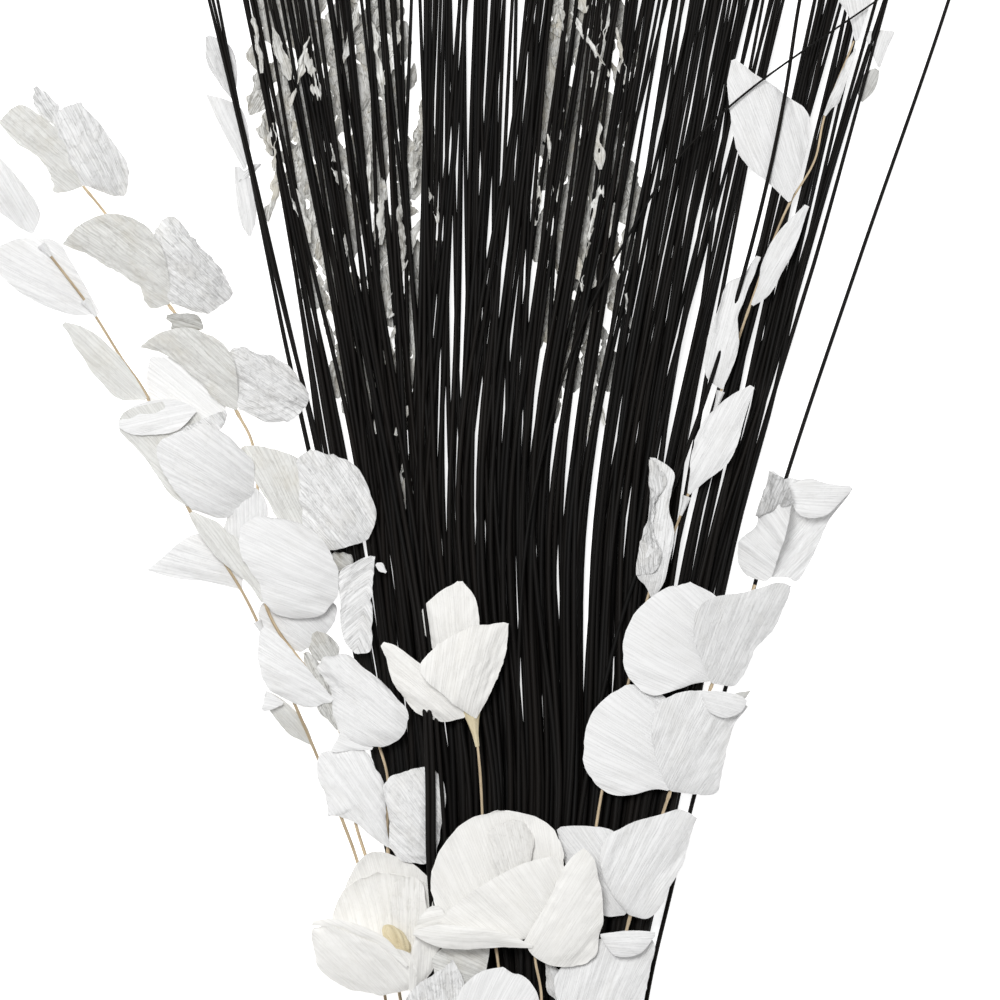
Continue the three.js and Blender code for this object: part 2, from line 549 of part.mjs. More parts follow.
/** A flower's stem with a calyx that flares from its foot to the stem's top. */
function calyxStemGeometry(path, radius) {
  const profile = [[0, 0], [radius + CALYX_WALL, 0],
    [CALYX_RADIUS * CALYX_FLARE, CALYX_LENGTH * CALYX_FLARE_AT],
    [CALYX_RADIUS, CALYX_LENGTH], [0, CALYX_LENGTH]];
  const calyx = turnedGeometry(profile, CALYX_FOOT, path[0], CALYX_SIDES);
  return geometryOf(solidOf(stemGeometry(path, radius)).add(solidOf(calyx)));
}

// ---------------------------------------------------------------- the bunch

const pieces = [];

TIP_YS.forEach((tipY, index) => {
  const name = `stem_clump_${index + 1}`;
  pieces.push({ name, finish: BLACK_STEM, shape: (grow) => clumpGeometry(index, grow) });
});
for (const [name, outline] of Object.entries(HIDDEN_SPRAYS)) {
  pieces.push({ name, finish: GREY_LEAF, shape: () => hiddenSprayGeometry(outline) });
}
for (const [name, twig] of Object.entries(TWIGS)) {
  const makeStem = twig.calyx ? calyxStemGeometry : stemGeometry;
  pieces.push({ name, finish: twig.finish, shape: (grow) => makeStem(twig.path, twig.radius + grow) });
}
pieces.push({
  name: 'side_cone',
  finish: CREAM_CONE,
  shape: () => turnedGeometry(CONE_PROFILE, CONE_FOOT, CONE_TOP, CONE_SIDES),
});
for (const [name, sheet] of Object.entries(SHEETS)) {
  pieces.push({ name, finish: sheet.finish, shape: (grow) => sheetGeometry(sheet, grow) });
}

const bunch = new THREE.Group();
for (const { piece, solid } of fitTogether(pieces)) {
  const mesh = new THREE.Mesh(geometryOf(solid), piece.finish());
  mesh.name = piece.name;
  bunch.add(mesh);
}

// The origin is the middle of the footprint, on the surface that the bunch lies on.
const extent = new THREE.Box3().setFromObject(bunch);
const middle = extent.getCenter(new THREE.Vector3());
bunch.position.set(-middle.x, -middle.y, -extent.min.z);

export default bunch;
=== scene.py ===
"""Looks of a loose bunch of long black stems, papery leaf sprays and paper flowers, lying on a pale floor.

Shapes are worked out in layout millimetres, the same places that the frame's construction uses, and
are moved into the frame by an offset read from it. +Y runs from the cut ends to the tips and +Z is up.
The one exception is the fan's lower left edge, which lies up to 39 mm further out than the frame's.
"""

import logging
import zlib
from dataclasses import dataclass, field
from enum import Enum
from typing import Any, Sequence

import bpy
import numpy as np
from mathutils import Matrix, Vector


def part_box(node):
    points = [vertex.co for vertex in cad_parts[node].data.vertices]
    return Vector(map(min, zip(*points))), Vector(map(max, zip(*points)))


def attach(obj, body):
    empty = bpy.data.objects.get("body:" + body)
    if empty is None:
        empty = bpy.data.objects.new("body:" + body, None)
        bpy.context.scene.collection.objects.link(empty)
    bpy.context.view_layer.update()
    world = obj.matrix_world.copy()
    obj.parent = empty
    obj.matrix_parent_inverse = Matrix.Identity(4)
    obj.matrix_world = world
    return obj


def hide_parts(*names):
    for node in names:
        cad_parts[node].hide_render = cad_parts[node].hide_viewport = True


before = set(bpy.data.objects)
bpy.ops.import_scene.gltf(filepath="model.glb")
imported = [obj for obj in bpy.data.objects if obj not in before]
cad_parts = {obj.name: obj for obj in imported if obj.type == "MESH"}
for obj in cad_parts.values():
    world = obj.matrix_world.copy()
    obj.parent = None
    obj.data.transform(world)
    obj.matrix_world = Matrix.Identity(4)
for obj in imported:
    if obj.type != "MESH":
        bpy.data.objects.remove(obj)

logging.basicConfig(level=logging.INFO, format="%(message)s")
log = logging.getLogger("bunch")

Array = np.ndarray
Point = tuple[float, float, float]
Color = tuple[float, float, float]

MM = 0.001
UV_NAME = "surface"
UV_SCALE = 100.0  # millimetres of surface for one unit of the UV map
SHARP_ANGLE = 50.0  # degrees between faces that show an edge

# The fan of stems, as (y, x) in layout millimetres, and the height of the heap, as (y, z).
CUT_Y = -585.0
CLUMP_TIPS = (565.0, 600.0, 635.0, 620.0, 640.0, 590.0)
CLUMP_GAP = 0.6
LEFT_EDGE = ((-585, -42), (-400, -60), (-288, -92), (-208, -103), (-128, -117), (40, -156), (200, -190),
             (400, -236), (640, -302))
RIGHT_EDGE = ((-585, 90), (-400, 111), (-308, 130), (-75, 181), (0, 198), (400, 316), (640, 387))
HEAP_TOP = ((-585, 54), (-400, 44), (-200, 34), (0, 27), (150, 24), (400, 18), (640, 4))
HEAP_UNDER = ((-585, 0), (-100, 0), (60, 9), (450, 9), (640, 0))
HEAP_EDGE = 0.45  # height of the heap's edge as a share of its middle

CURVE_STEPS = 25  # points on each stretch of a smooth line before it is evened out
PROFILE_STEPS = 240  # points on a smooth line of values


# ---------------------------------------------------------------- numbers and curves


def unit(vectors: Array) -> Array:
    """Vectors of length one, in the same directions."""
    return vectors / np.maximum(np.linalg.norm(vectors, axis=-1, keepdims=True), 1e-9)


def ease(share: Array) -> Array:
    """The smooth step 3t^2 - 2t^3 of a share held between 0 and 1."""
    held = np.clip(share, 0.0, 1.0)
    return held * held * (3.0 - 2.0 * held)


def random_for(name: str) -> np.random.Generator:
    """A random generator that always gives the same draws for the same name."""
    return np.random.default_rng(zlib.crc32(name.encode()))


def smooth_line(points: Sequence[Point] | Array, count: int) -> Array:
    """Points spaced evenly along a centripetal Catmull-Rom curve.

    Each stretch is the cubic whose tangents come from its neighbours' distances to the power one
    half; the fine curve is then sampled at equal lengths.

    Args:
        points: what the curve goes through.
        count: how many points to give back.

    Returns:
        An array of count points.
    """
    given = np.asarray(points, float)
    knots = np.vstack([2 * given[0] - given[1], given, 2 * given[-1] - given[-2]])
    gaps = np.maximum(np.sqrt(np.linalg.norm(np.diff(knots, axis=0), axis=1)), 1e-3)[:, None]
    before, here, after = gaps[:-2], gaps[1:-1], gaps[2:]
    a, b, c, d = knots[:-3], knots[1:-2], knots[2:-1], knots[3:]
    leave = ((b - a) / before - (c - a) / (before + here) + (c - b) / here) * here
    arrive = ((c - b) / here - (d - b) / (here + after) + (d - c) / after) * here
    t = np.linspace(0.0, 1.0, CURVE_STEPS)[None, :, None]
    h = t * t * (3 - 2 * t)
    fine = (
        b[:, None] * (1 - h) + c[:, None] * h
        + leave[:, None] * (t * (1 - t) ** 2) - arrive[:, None] * (t * t * (1 - t))
    ).reshape(-1, given.shape[1])
    length = np.concatenate([[0.0], np.cumsum(np.linalg.norm(np.diff(fine, axis=0), axis=1))])
    wanted = np.linspace(0.0, length[-1], count)
    return np.stack([np.interp(wanted, length, column) for column in fine.T], axis=1)


def smooth_values(pairs: Sequence[tuple[float, float]], at: Array) -> Array:
    """The value, at each position, of a smooth line through (position, value) pairs."""
    line = smooth_line(np.asarray(pairs, float), PROFILE_STEPS)
    return np.interp(at, line[:, 0], line[:, 1])


def heap_height(y: Array, across: Array) -> tuple[Array, Array]:
    """The heap's underside and top at y and at a share of the fan's width.

    The crown is an ellipse across the fan: edge + (1 - edge) * sqrt(1 - (2s - 1)^2).
    """
    under = np.interp(y, *np.asarray(HEAP_UNDER, float).T)
    crown = HEAP_EDGE + (1 - HEAP_EDGE) * np.sqrt(np.maximum(0.0, 1 - (2 * across - 1) ** 2))
    return under, under + (smooth_values(HEAP_TOP, y) - under) * crown


def layout_origin() -> Array:
    """Where the layout's zero lies in the frame, in metres, from two clumps of the frame."""
    right_edge = np.interp(CLUMP_TIPS[5], *np.asarray(RIGHT_EDGE, float).T) - CLUMP_GAP / 2
    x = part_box("stem_clump_6")[1].x - right_edge * MM
    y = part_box("stem_clump_1")[0].y - CUT_Y * MM
    return np.array((x, y, 0.0))


ORIGIN = layout_origin()


# ---------------------------------------------------------------- surfaces


@dataclass
class Shell:
    """A closed surface: points in layout millimetres, faces, and what is known at each point."""

    points: Array
    faces: list[Array]
    uv: Array
    values: dict[str, Array] = field(default_factory=dict)

    def marked(self, **values: float | Array) -> "Shell":
        """The same shell with these values at every point."""
        for name, value in values.items():
            self.values[name] = np.broadcast_to(np.asarray(value, float), len(self.points)).copy()
        return self


def sheet_shell(points: Array, uv: Array, thickness: float) -> Shell:
    """A thin sheet: a grid of points moved half its thickness to either side along its normals.

    The normal at a point is (change across) x (change along). The two sides are joined by a rim.

    Args:
        points: (rows, columns, 3), with columns running left to right as rows run ahead.
        uv: (rows, columns, 2), millimetres along the surface.
        thickness: of the sheet, in millimetres.

    Returns:
        The closed shell.
    """
    rows, columns = points.shape[:2]
    ahead, aside = np.gradient(points, axis=0), np.gradient(points, axis=1)
    normal = unit(np.cross(aside, ahead))
    both = np.concatenate([points + normal * thickness / 2, points - normal * thickness / 2])
    index = np.arange(rows * columns).reshape(rows, columns)
    low = index + rows * columns
    top = np.stack([index[:-1, :-1], index[:-1, 1:], index[1:, 1:], index[1:, :-1]], axis=-1)
    under = np.stack([low[:-1, :-1], low[1:, :-1], low[1:, 1:], low[:-1, 1:]], axis=-1)
    loop = np.concatenate([index[0, :-1], index[:-1, -1], index[-1, :0:-1], index[:0:-1, 0]])
    following = np.roll(loop, -1)
    shift = rows * columns
    rim = np.stack([loop, loop + shift, following + shift, following], axis=-1)
    faces = np.concatenate([top.reshape(-1, 4), under.reshape(-1, 4), rim])
    flat_uv = np.concatenate([uv, uv]).reshape(-1, 2)
    return Shell(both.reshape(-1, 3), [faces], flat_uv)


def tube_shell(lines: Array, radii: Array, sides: int) -> Shell:
    """Round rods along lines: P(s, a) = C(s) + r(s, a) (cos a * beside + sin a * above), with flat ends.

    Args:
        lines: (rods, steps, 3) points of the centrelines.
        radii: what broadcasts to (rods, steps, sides).
        sides: of each rod.

    Returns:
        One shell with all the rods.
    """
    rods, steps = lines.shape[:2]
    tangent = unit(np.gradient(lines, axis=1))
    beside = unit(np.cross(tangent, (0.0, 0.0, 1.0)))
    above = np.cross(beside, tangent)
    angle = 2 * np.pi * np.arange(sides) / sides
    ring = beside[:, :, None] * np.cos(angle)[:, None] + above[:, :, None] * np.sin(angle)[:, None]
    radius = np.broadcast_to(radii, (rods, steps, sides))
    points = lines[:, :, None] + radius[..., None] * ring
    index = np.arange(rods * steps * sides).reshape(rods, steps, sides)
    turned = np.roll(index, -1, axis=2)
    wall = np.stack([index[:, :-1], index[:, 1:], turned[:, 1:], turned[:, :-1]], axis=-1)
    step = np.linalg.norm(np.diff(lines, axis=1), axis=2)
    length = np.concatenate([np.zeros((rods, 1)), np.cumsum(step, axis=1)], axis=1)
    girth = np.broadcast_to(np.abs(angle - np.pi) * radius, (rods, steps, sides))
    uv = np.stack([girth, np.broadcast_to(length[..., None], girth.shape)], axis=-1)
    faces = [wall.reshape(-1, 4), index[:, 0], index[:, -1, ::-1]]
    return Shell(points.reshape(-1, 3), faces, uv.reshape(-1, 2))


def make_piece(name: str, shells: Sequence[Shell], material: bpy.types.Material,
               stands_for: Sequence[str] = ()) -> bpy.types.Object:
    """Joins shells into one smooth object, in its place in the frame, and tells the frame about it.

    Args:
        name: of the object.
        shells: what it is made of.
        material: its finish.
        stands_for: the frame's nodes that it replaces.

    Returns:
        The object.
    """
    points = np.vstack([shell.points for shell in shells]) * MM + ORIGIN
    uv = np.vstack([shell.uv for shell in shells]) / UV_SCALE
    starts = np.cumsum([0] + [len(shell.points) for shell in shells[:-1]])
    groups = [faces + start for start, shell in zip(starts, shells) for faces in shell.faces]
    corners = np.concatenate([faces.ravel() for faces in groups])
    sizes = np.concatenate([np.full(len(faces), faces.shape[1]) for faces in groups])

    mesh = bpy.data.meshes.new(name)
    mesh.vertices.add(len(points))
    mesh.vertices.foreach_set("co", points.astype(np.float32).ravel())
    mesh.loops.add(len(corners))
    mesh.loops.foreach_set("vertex_index", corners.astype(np.int32))
    mesh.polygons.add(len(sizes))
    mesh.polygons.foreach_set("loop_start", (np.cumsum(sizes) - sizes).astype(np.int32))
    mesh.update(calc_edges=True)
    layer = mesh.uv_layers.new(name=UV_NAME)
    layer.uv.foreach_set("vector", uv[corners].astype(np.float32).ravel())
    for key in shells[0].values:
        column = np.concatenate([shell.values[key] for shell in shells])
        mesh.attributes.new(key, "FLOAT", "POINT").data.foreach_set("value", column.astype(np.float32))
    mesh.shade_smooth()
    mesh.set_sharp_from_angle(angle=np.radians(SHARP_ANGLE))
    mesh.materials.append(material)

    piece = bpy.data.objects.new(name, mesh)
    bpy.context.scene.collection.objects.link(piece)
    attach(piece, "root")
    if stands_for:
        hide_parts(*stands_for)
    log.info("%-28s %6d faces", name, len(sizes))
    return piece


# ---------------------------------------------------------------- shader maths


class Wire:
    """A number socket whose arithmetic adds Math nodes to its graph."""

    def __init__(self, graph: "Graph", socket: bpy.types.NodeSocket) -> None:
        """Holds the socket and the graph that it belongs to."""
        self.graph = graph
        self.socket = socket

    def math(self, operation: str, *others: Any) -> "Wire":
        """The wire of a Math node on this wire and the others."""
        return self.graph.math(operation, self, *others)

    def __add__(self, other: Any) -> "Wire":
        """This plus the other."""
        return self.math("ADD", other)

    def __sub__(self, other: Any) -> "Wire":
        """This less the other."""
        return self.math("SUBTRACT", other)

    def __rsub__(self, other: Any) -> "Wire":
        """The other less this."""
        return self.graph.math("SUBTRACT", other, self)

    def __mul__(self, other: Any) -> "Wire":
        """This times the other."""
        return self.math("MULTIPLY", other)

    def __pow__(self, other: Any) -> "Wire":
        """This to the power of the other."""
        return self.math("POWER", other)

    def __abs__(self) -> "Wire":
        """This without its sign."""
        return self.math("ABSOLUTE")

    __radd__ = __add__
    __rmul__ = __mul__

    def held(self) -> "Wire":
        """This kept between 0 and 1."""
        return self.math("MAXIMUM", 0.0).math("MINIMUM", 1.0)


class Graph:
    """The shader of one material, filled in by calls that give wires back."""

    def __init__(self, name: str) -> None:
        """An empty material of that name."""
        self.material = bpy.data.materials.new(name)
        self.material.use_nodes = True
        self.tree = self.material.node_tree
        self.tree.nodes.clear()

    def node(self, kind: str, settings: dict[str, Any] | None = None,
             inputs: dict[str | int, Any] | None = None) -> bpy.types.Node:
        """Adds a node.

        Args:
            kind: the node's type.
            settings: its own properties, set before anything is joined to it.
            inputs: a value, wire or socket for each named or numbered input.

        Returns:
            The node.
        """
        made = self.tree.nodes.new(kind)
        for key, value in (settings or {}).items():
            setattr(made, key, value)
        for key, value in (inputs or {}).items():
            source = value.socket if isinstance(value, Wire) else value
            if isinstance(source, bpy.types.NodeSocket):
                self.tree.links.new(source, made.inputs[key])
            else:
                made.inputs[key].default_value = source
        return made

    def wire(self, kind: str, settings: dict[str, Any] | None = None,
             inputs: dict[str | int, Any] | None = None, output: str | int = 0) -> Wire:
        """One output of a new node, as a wire."""
        return Wire(self, self.node(kind, settings, inputs).outputs[output])

    def math(self, operation: str, *values: Any) -> Wire:
        """A Math node on one to three values."""
        return self.wire("ShaderNodeMath", {"operation": operation}, dict(enumerate(values)))

    def attribute(self, name: str) -> Wire:
        """A number kept at the mesh's points."""
        return self.wire("ShaderNodeAttribute", {"attribute_name": name}, output="Fac")

    def surface(self) -> tuple[Wire, Wire]:
        """Millimetres across and along the surface, from the UV map."""
        uv = self.wire("ShaderNodeUVMap", {"uv_map": UV_NAME})
        parts = self.node("ShaderNodeSeparateXYZ", inputs={0: uv})
        return Wire(self, parts.outputs[0]) * UV_SCALE, Wire(self, parts.outputs[1]) * UV_SCALE

    def noise(self, x: Any, y: Any, z: Any, detail: float = 2.0, roughness: float = 0.5) -> Wire:
        """Noise from 0 to 1 at a place given by three numbers, in its own cells."""
        place = self.wire("ShaderNodeCombineXYZ", inputs={0: x, 1: y, 2: z})
        inputs = {"Vector": place, "Scale": 1.0, "Detail": detail, "Roughness": roughness}
        return self.wire("ShaderNodeTexNoise", inputs=inputs)

    def mix(self, share: Any, a: Any, b: Any, blend: str = "MIX") -> Wire:
        """A colour between a and b, or a blend of them."""
        colors = {key: (*value, 1.0) if isinstance(value, tuple) else value
                  for key, value in ((6, a), (7, b))}
        settings = {"data_type": "RGBA", "blend_type": blend}
        return self.wire("ShaderNodeMix", settings, {0: share, **colors}, output=2)

    def bump(self, height: Wire, depth_mm: float, strength: float = 1.0) -> Wire:
        """A normal for a surface that stands up by depth_mm where the height is 1."""
        inputs = {"Height": height, "Distance": depth_mm * MM, "Strength": strength}
        return self.wire("ShaderNodeBump", inputs=inputs)

    def finish(self, inputs: dict[str, Any]) -> bpy.types.Material:
        """Ends the graph in a Principled shader with these inputs."""
        shader = self.wire("ShaderNodeBsdfPrincipled", inputs=inputs)
        self.node("ShaderNodeOutputMaterial", inputs={"Surface": shader})
        return self.material


def linear(red: int, green: int, blue: int) -> Color:
    """A screen colour of 0 to 255 as the shader's linear one."""
    share = np.array((red, green, blue)) / 255.0
    value = np.where(share <= 0.04045, share / 12.92, ((share + 0.055) / 1.055) ** 2.4)
    return tuple(float(part) for part in value)


# ---------------------------------------------------------------- finishes


@dataclass(frozen=True)
class PaperFinish:
    """Thin dried leaf or petal, like bleached paper: fine veins along it, creases and faint stains, with
    painted shade darkening the vein furrows, creases and small dashes.
    """

    name: str
    color: Color
    # the darker colour that the leaf is drawn towards: painted shade in the vein furrows, creases and dashes,
    # and the fibres' own grain
    shade_and_fiber: Color
    stain: Color
    stain_amount: float = 0.3
    vein_depth: float = 0.65
    roughness: float = 0.8

    def build(self) -> bpy.types.Material:
        """The material. Points hold tone (brightness, on some leaves painted shade), crinkle (0 smooth to 1
        creased) and seed.
        """
        graph = Graph(self.name)
        across, along = graph.surface()
        seed = graph.attribute("seed")
        tone = graph.attribute("tone")
        crinkle = graph.attribute("crinkle")
        sway = graph.noise(across * 0.02, along * 0.02, seed) - 0.5
        bent = across + sway * 3.5
        veins = abs(graph.noise(bent * 0.62, along * 0.009, seed, 1.0) * 2.0 - 1.0)
        furrows = (1.0 - veins * 4.0).held() ** 1.5
        fibers = graph.noise(bent * 1.7, along * 0.035, seed + 7.0, 2.0)
        dashes = (graph.noise(bent * 0.75, along * 0.1, seed + 9.0, 2.0) * 5.0 - 2.9).held() * crinkle
        crease_place = graph.noise(bent * 0.12, along * 0.06, seed + 3.0, 3.0, 0.6)
        creases = (1.0 - abs(crease_place * 2.0 - 1.0) * 12.0).held() * crinkle
        mottle = graph.noise(across * 0.05, along * 0.03, seed + 5.0, 4.0, 0.65)
        stains = ((mottle - 0.5) * 5.0).held() * self.stain_amount * (0.25 + crinkle)
        # painted shade: the vein furrows, creases and dashes, which the bump sinks, are also coloured darker;
        # the fibre part is the paper's own grain
        lines = furrows * (0.1 + crinkle * 0.5) + (fibers - 0.45) * (0.25 + crinkle * 0.7)
        shade_and_fiber_marks = (lines + creases * 0.4 + dashes * 0.8).held()
        # darken towards the shade colour: painted shade in furrows, creases and dashes, fibre grain elsewhere
        color = graph.mix(shade_and_fiber_marks, self.color, self.shade_and_fiber)
        color = graph.mix(stains.held(), color, self.stain)
        # tone scales the colour: the leaf's own brightness, and on the darker-toned leaves in hollows or
        # facing away from the light, painted shade
        color = graph.mix(1.0, color, tone, "MULTIPLY")
        ridges = graph.noise(bent * 0.34, along * 0.16, seed + 2.0, 3.0, 0.6)
        height = fibers * 0.4 - furrows * 0.35 - creases * 0.4 - dashes * 0.5 + ridges * crinkle * 2.6
        rough = self.roughness + (fibers - 0.5) * 0.15
        return graph.finish({
            "Base Color": color, "Roughness": rough, "Specular IOR Level": 0.25,
            "Normal": graph.bump(height, self.vein_depth, 0.9),
        })


@dataclass(frozen=True)
class StemFinish:
    """Black dyed reed: a satin skin with long faint streaks, a little browner on some stems."""

    name: str
    color: Color
    brown: Color

    def build(self) -> bpy.types.Material:
        """The material. Points hold seed, a number from 0 to 1 for each stem."""
        graph = Graph(self.name)
        across, along = graph.surface()
        seed = graph.attribute("seed")
        streaks = graph.noise(across * 0.9, along * 0.01, seed * 90.0, 3.0, 0.6)
        brownness = (graph.noise(seed * 40.0, along * 0.004, 3.0) * 2.4 - 0.85).held()
        color = graph.mix((streaks - 0.3).held() * 0.5 + brownness * 0.6, self.color, self.brown)
        rough = 0.5 + (streaks - 0.5) * 0.25 + seed * 0.12
        return graph.finish({
            "Base Color": color, "Roughness": rough, "Specular IOR Level": 0.09,
            "Normal": graph.bump(streaks, 0.25, 0.6),
        })


@dataclass(frozen=True)
class TwigFinish:
    """Bare pale twig: tan bark with long darker fibres and small flecks."""

    name: str
    color: Color
    dark: Color

    def build(self) -> bpy.types.Material:
        """The material. Points hold tone, its brightness."""
        graph = Graph(self.name)
        across, along = graph.surface()
        tone = graph.attribute("tone")
        fibers = graph.noise(across * 1.6, along * 0.05, 1.0, 3.0, 0.6)
        patches = graph.noise(across * 0.2, along * 0.035, 8.0, 2.0)
        flecks = (graph.noise(across * 1.5, along * 0.5, 4.0, 1.0) * 6.0 - 3.9).held()
        share = ((fibers - 0.42) * 1.8 + (patches - 0.5) * 1.6 + flecks * 0.6).held()
        color = graph.mix(1.0, graph.mix(share, self.color, self.dark), tone, "MULTIPLY")
        return graph.finish({
            "Base Color": color, "Roughness": 0.62 + fibers * 0.2, "Specular IOR Level": 0.3,
            "Normal": graph.bump(fibers + flecks * 0.4, 0.3, 0.7),
        })


@dataclass(frozen=True)
class FloorFinish:
    """Bright seamless studio paper, which glows a little as if it were lit from behind."""

    name: str
    color: Color
    glow: float

    def build(self) -> bpy.types.Material:
        """The material."""
        graph = Graph(self.name)
        return graph.finish({
            "Base Color": (*self.color, 1.0), "Roughness": 0.9, "Specular IOR Level": 0.0,
            "Emission Color": (1.0, 1.0, 1.0, 1.0), "Emission Strength": self.glow,
        })


class Paper(Enum):
    """The papery finishes, by the record's slots."""

    WHITE_LEAF = PaperFinish("white_leaf", linear(243, 243, 243), linear(192, 192, 191),
                             linear(206, 202, 192), 0.25)
    # a greyer copy of the leaf paper with darker lines and more stain: painted shade on leaves that face away
    # from the light and on the crushed leaves under the stems
    SHADED_LEAF = PaperFinish("grey_leaf", linear(232, 232, 229), linear(160, 158, 152),
                            linear(196, 189, 172), 0.5, 0.6)
    WHITE_PETAL = PaperFinish("white_petal", linear(245, 244, 241), linear(206, 204, 199),
                              linear(222, 216, 200), 0.18, 0.45)


@dataclass(frozen=True)
class Finishes:
    """Every material of the bunch, built once."""

    papers: dict[Paper, bpy.types.Material]
    stem: bpy.types.Material
    twig: bpy.types.Material
    cone: bpy.types.Material

    @classmethod
    def build(cls) -> "Finishes":
        """Builds the materials."""
        return cls(
            papers={paper: paper.value.build() for paper in Paper},
            stem=StemFinish("black_stem", (0.0048, 0.0048, 0.0047), (0.0125, 0.0098, 0.008)).build(),
            twig=TwigFinish("brown_twig", linear(206, 187, 157), linear(138, 115, 87)).build(),
            cone=TwigFinish("cream_cone", linear(226, 214, 182), linear(188, 168, 124)).build(),
        )


# ---------------------------------------------------------------- leaves and petals


WAVES = ((30.0, 0.85), (14.0, 0.42), (7.5, 0.2))  # length and depth, in millimetres
LARGE_CREASES = 6
SMALL_CREASES = 5
RAGS = ((7.0, 0.006), (13.0, 0.005), (23.0, 0.003))  # turns along an edge, share of the width


@dataclass(frozen=True)
class Leaf:
    """A leaf or petal between a left and a right edge, seen from its base towards its tip.

    The sheet is P(u, v) = left(u) + (right(u) - left(u)) (v + 1) / 2, raised in its middle by
    rise (1 - v^2) sin(pi u), then waved across its veins and creased. The veins run at the angle
    vein, in degrees from +X, or from base to tip where it is None, and spread apart by fan.
    """

    name: str
    base: Point
    tip: Point
    left: tuple[Point, ...]
    right: tuple[Point, ...]
    rise: float = 4.0
    # a leaf's brightness: its own whiteness, and painted shade on leaves that sit in hollows or face away
    # from the light
    tone: float = 1.0
    crinkle: float = 0.25
    wave: float = 1.0
    vein: float | None = None
    fan: float = 0.5
    pinnate: bool = False
    in_frame: bool = True
    ragged: float = 1.0
    thickness: float = 0.45
    base_half: float = 1.2
    tip_half: float = 2.0
    rows: int = 64
    columns: int = 52

    def edges(self) -> tuple[Array, Array]:
        """The left and the right edge, as smooth lines of points."""
        base, tip = np.array(self.base, float), np.array(self.tip, float)
        forward = unit((tip - base) * (1.0, 1.0, 0.0))
        leftward = np.array((-forward[1], forward[0], 0.0))
        left = [base + leftward * self.base_half, *self.left, tip + leftward * self.tip_half]
        right = [base - leftward * self.base_half, *self.right, tip - leftward * self.tip_half]
        return smooth_line(np.array(left, float), self.rows), smooth_line(np.array(right, float), self.rows)

    def vein_places(self, points: Array) -> tuple[Array, Array]:
        """Millimetres across and along the veins, which lie straight in plan and fan out a little.

        With d the veins' direction, along = (P - base) . d, and across is the distance to the side
        over 1 + fan * (share of the way along).
        """
        base, tip = np.array(self.base, float)[:2], np.array(self.tip, float)[:2]
        ahead = unit(tip - base) if self.vein is None else np.array(
            (np.cos(np.radians(self.vein)), np.sin(np.radians(self.vein))))
        away = points[..., :2] - base
        along = away @ ahead
        spread = 1 + self.fan * (along - along.min()) / np.ptp(along)
        across = away @ np.array((ahead[1], -ahead[0])) * (1 + self.fan / 2) / spread
        return across, along

    def relief(self, across: Array, along: Array) -> Array:
        """How far each place stands up or down, in millimetres.

        Waves across the veins, each swaying slowly along them, plus large sharp creases, each a
        wave's 1 - 2 |sin|, and small round ones, all in directions of their own.
        """
        random = random_for(self.name)
        height = np.zeros_like(across)
        for length, depth in WAVES:
            sway = 0.9 * np.sin(2 * np.pi * (along / (3.4 * length) + random.uniform()))
            height += depth * np.sin(2 * np.pi * (across / length + random.uniform()) + sway)
        for _ in range(LARGE_CREASES):
            turn = random.normal(0.0, 0.35 + 0.9 * self.crinkle)
            length = random.uniform(13.0, 26.0)
            place = across * np.cos(turn) + along * np.sin(turn) + 3.0 * np.sin(along / 11.0 + 9 * turn)
            sharp = 1 - 2 * np.abs(np.sin(np.pi * (place / length + random.uniform())))
            height += sharp * (0.12 + 0.42 * self.crinkle)
        for _ in range(SMALL_CREASES):
            turn = random.normal(0.0, 0.5)
            length = random.uniform(5.0, 9.0)
            place = across * np.cos(turn) + along * np.sin(turn) + 2.0 * np.sin(along / 7.0 + 7 * turn)
            height += np.sin(2 * np.pi * (place / length + random.uniform())) * 0.34 * self.crinkle
        return height * self.wave

    def shell(self) -> Shell:
        """The leaf as a thin closed sheet, with its veins running along the UV map's second axis.

        A pinnate leaf's veins slant up to both sides of its middle line.
        """
        left, right = self.edges()
        u = np.linspace(0.0, 1.0, self.rows)[:, None]
        v = np.linspace(-1.0, 1.0, self.columns)[None, :]
        random = random_for(self.name + "_edge")
        ragged = sum(
            np.sin(2 * np.pi * (u * turns + random.uniform())) * reach for turns, reach in RAGS
        ) * np.sin(np.pi * u) * self.ragged
        share = (v * (1 + ragged) + 1) / 2
        points = left[:, None] + (right - left)[:, None] * share[..., None]
        points[..., 2] += self.rise * (1 - v * v) * np.sin(np.pi * u)

        across, along = self.vein_places(points)
        if self.pinnate:
            across, along = along + 1.1 * np.abs(across), across
        normal = unit(np.cross(np.gradient(points, axis=1), np.gradient(points, axis=0)))
        loose = ease(u * 3.0) * (0.55 + 0.6 * np.abs(v) ** 1.5)
        points = points + normal * (self.relief(across, along) * loose)[..., None]
        points[..., 2] = np.maximum(points[..., 2], self.thickness)
        shell = sheet_shell(points, np.stack([across, along], axis=-1), self.thickness)
        seed = random.uniform(0.0, 60.0)
        return shell.marked(tone=self.tone, crinkle=self.crinkle, seed=seed)


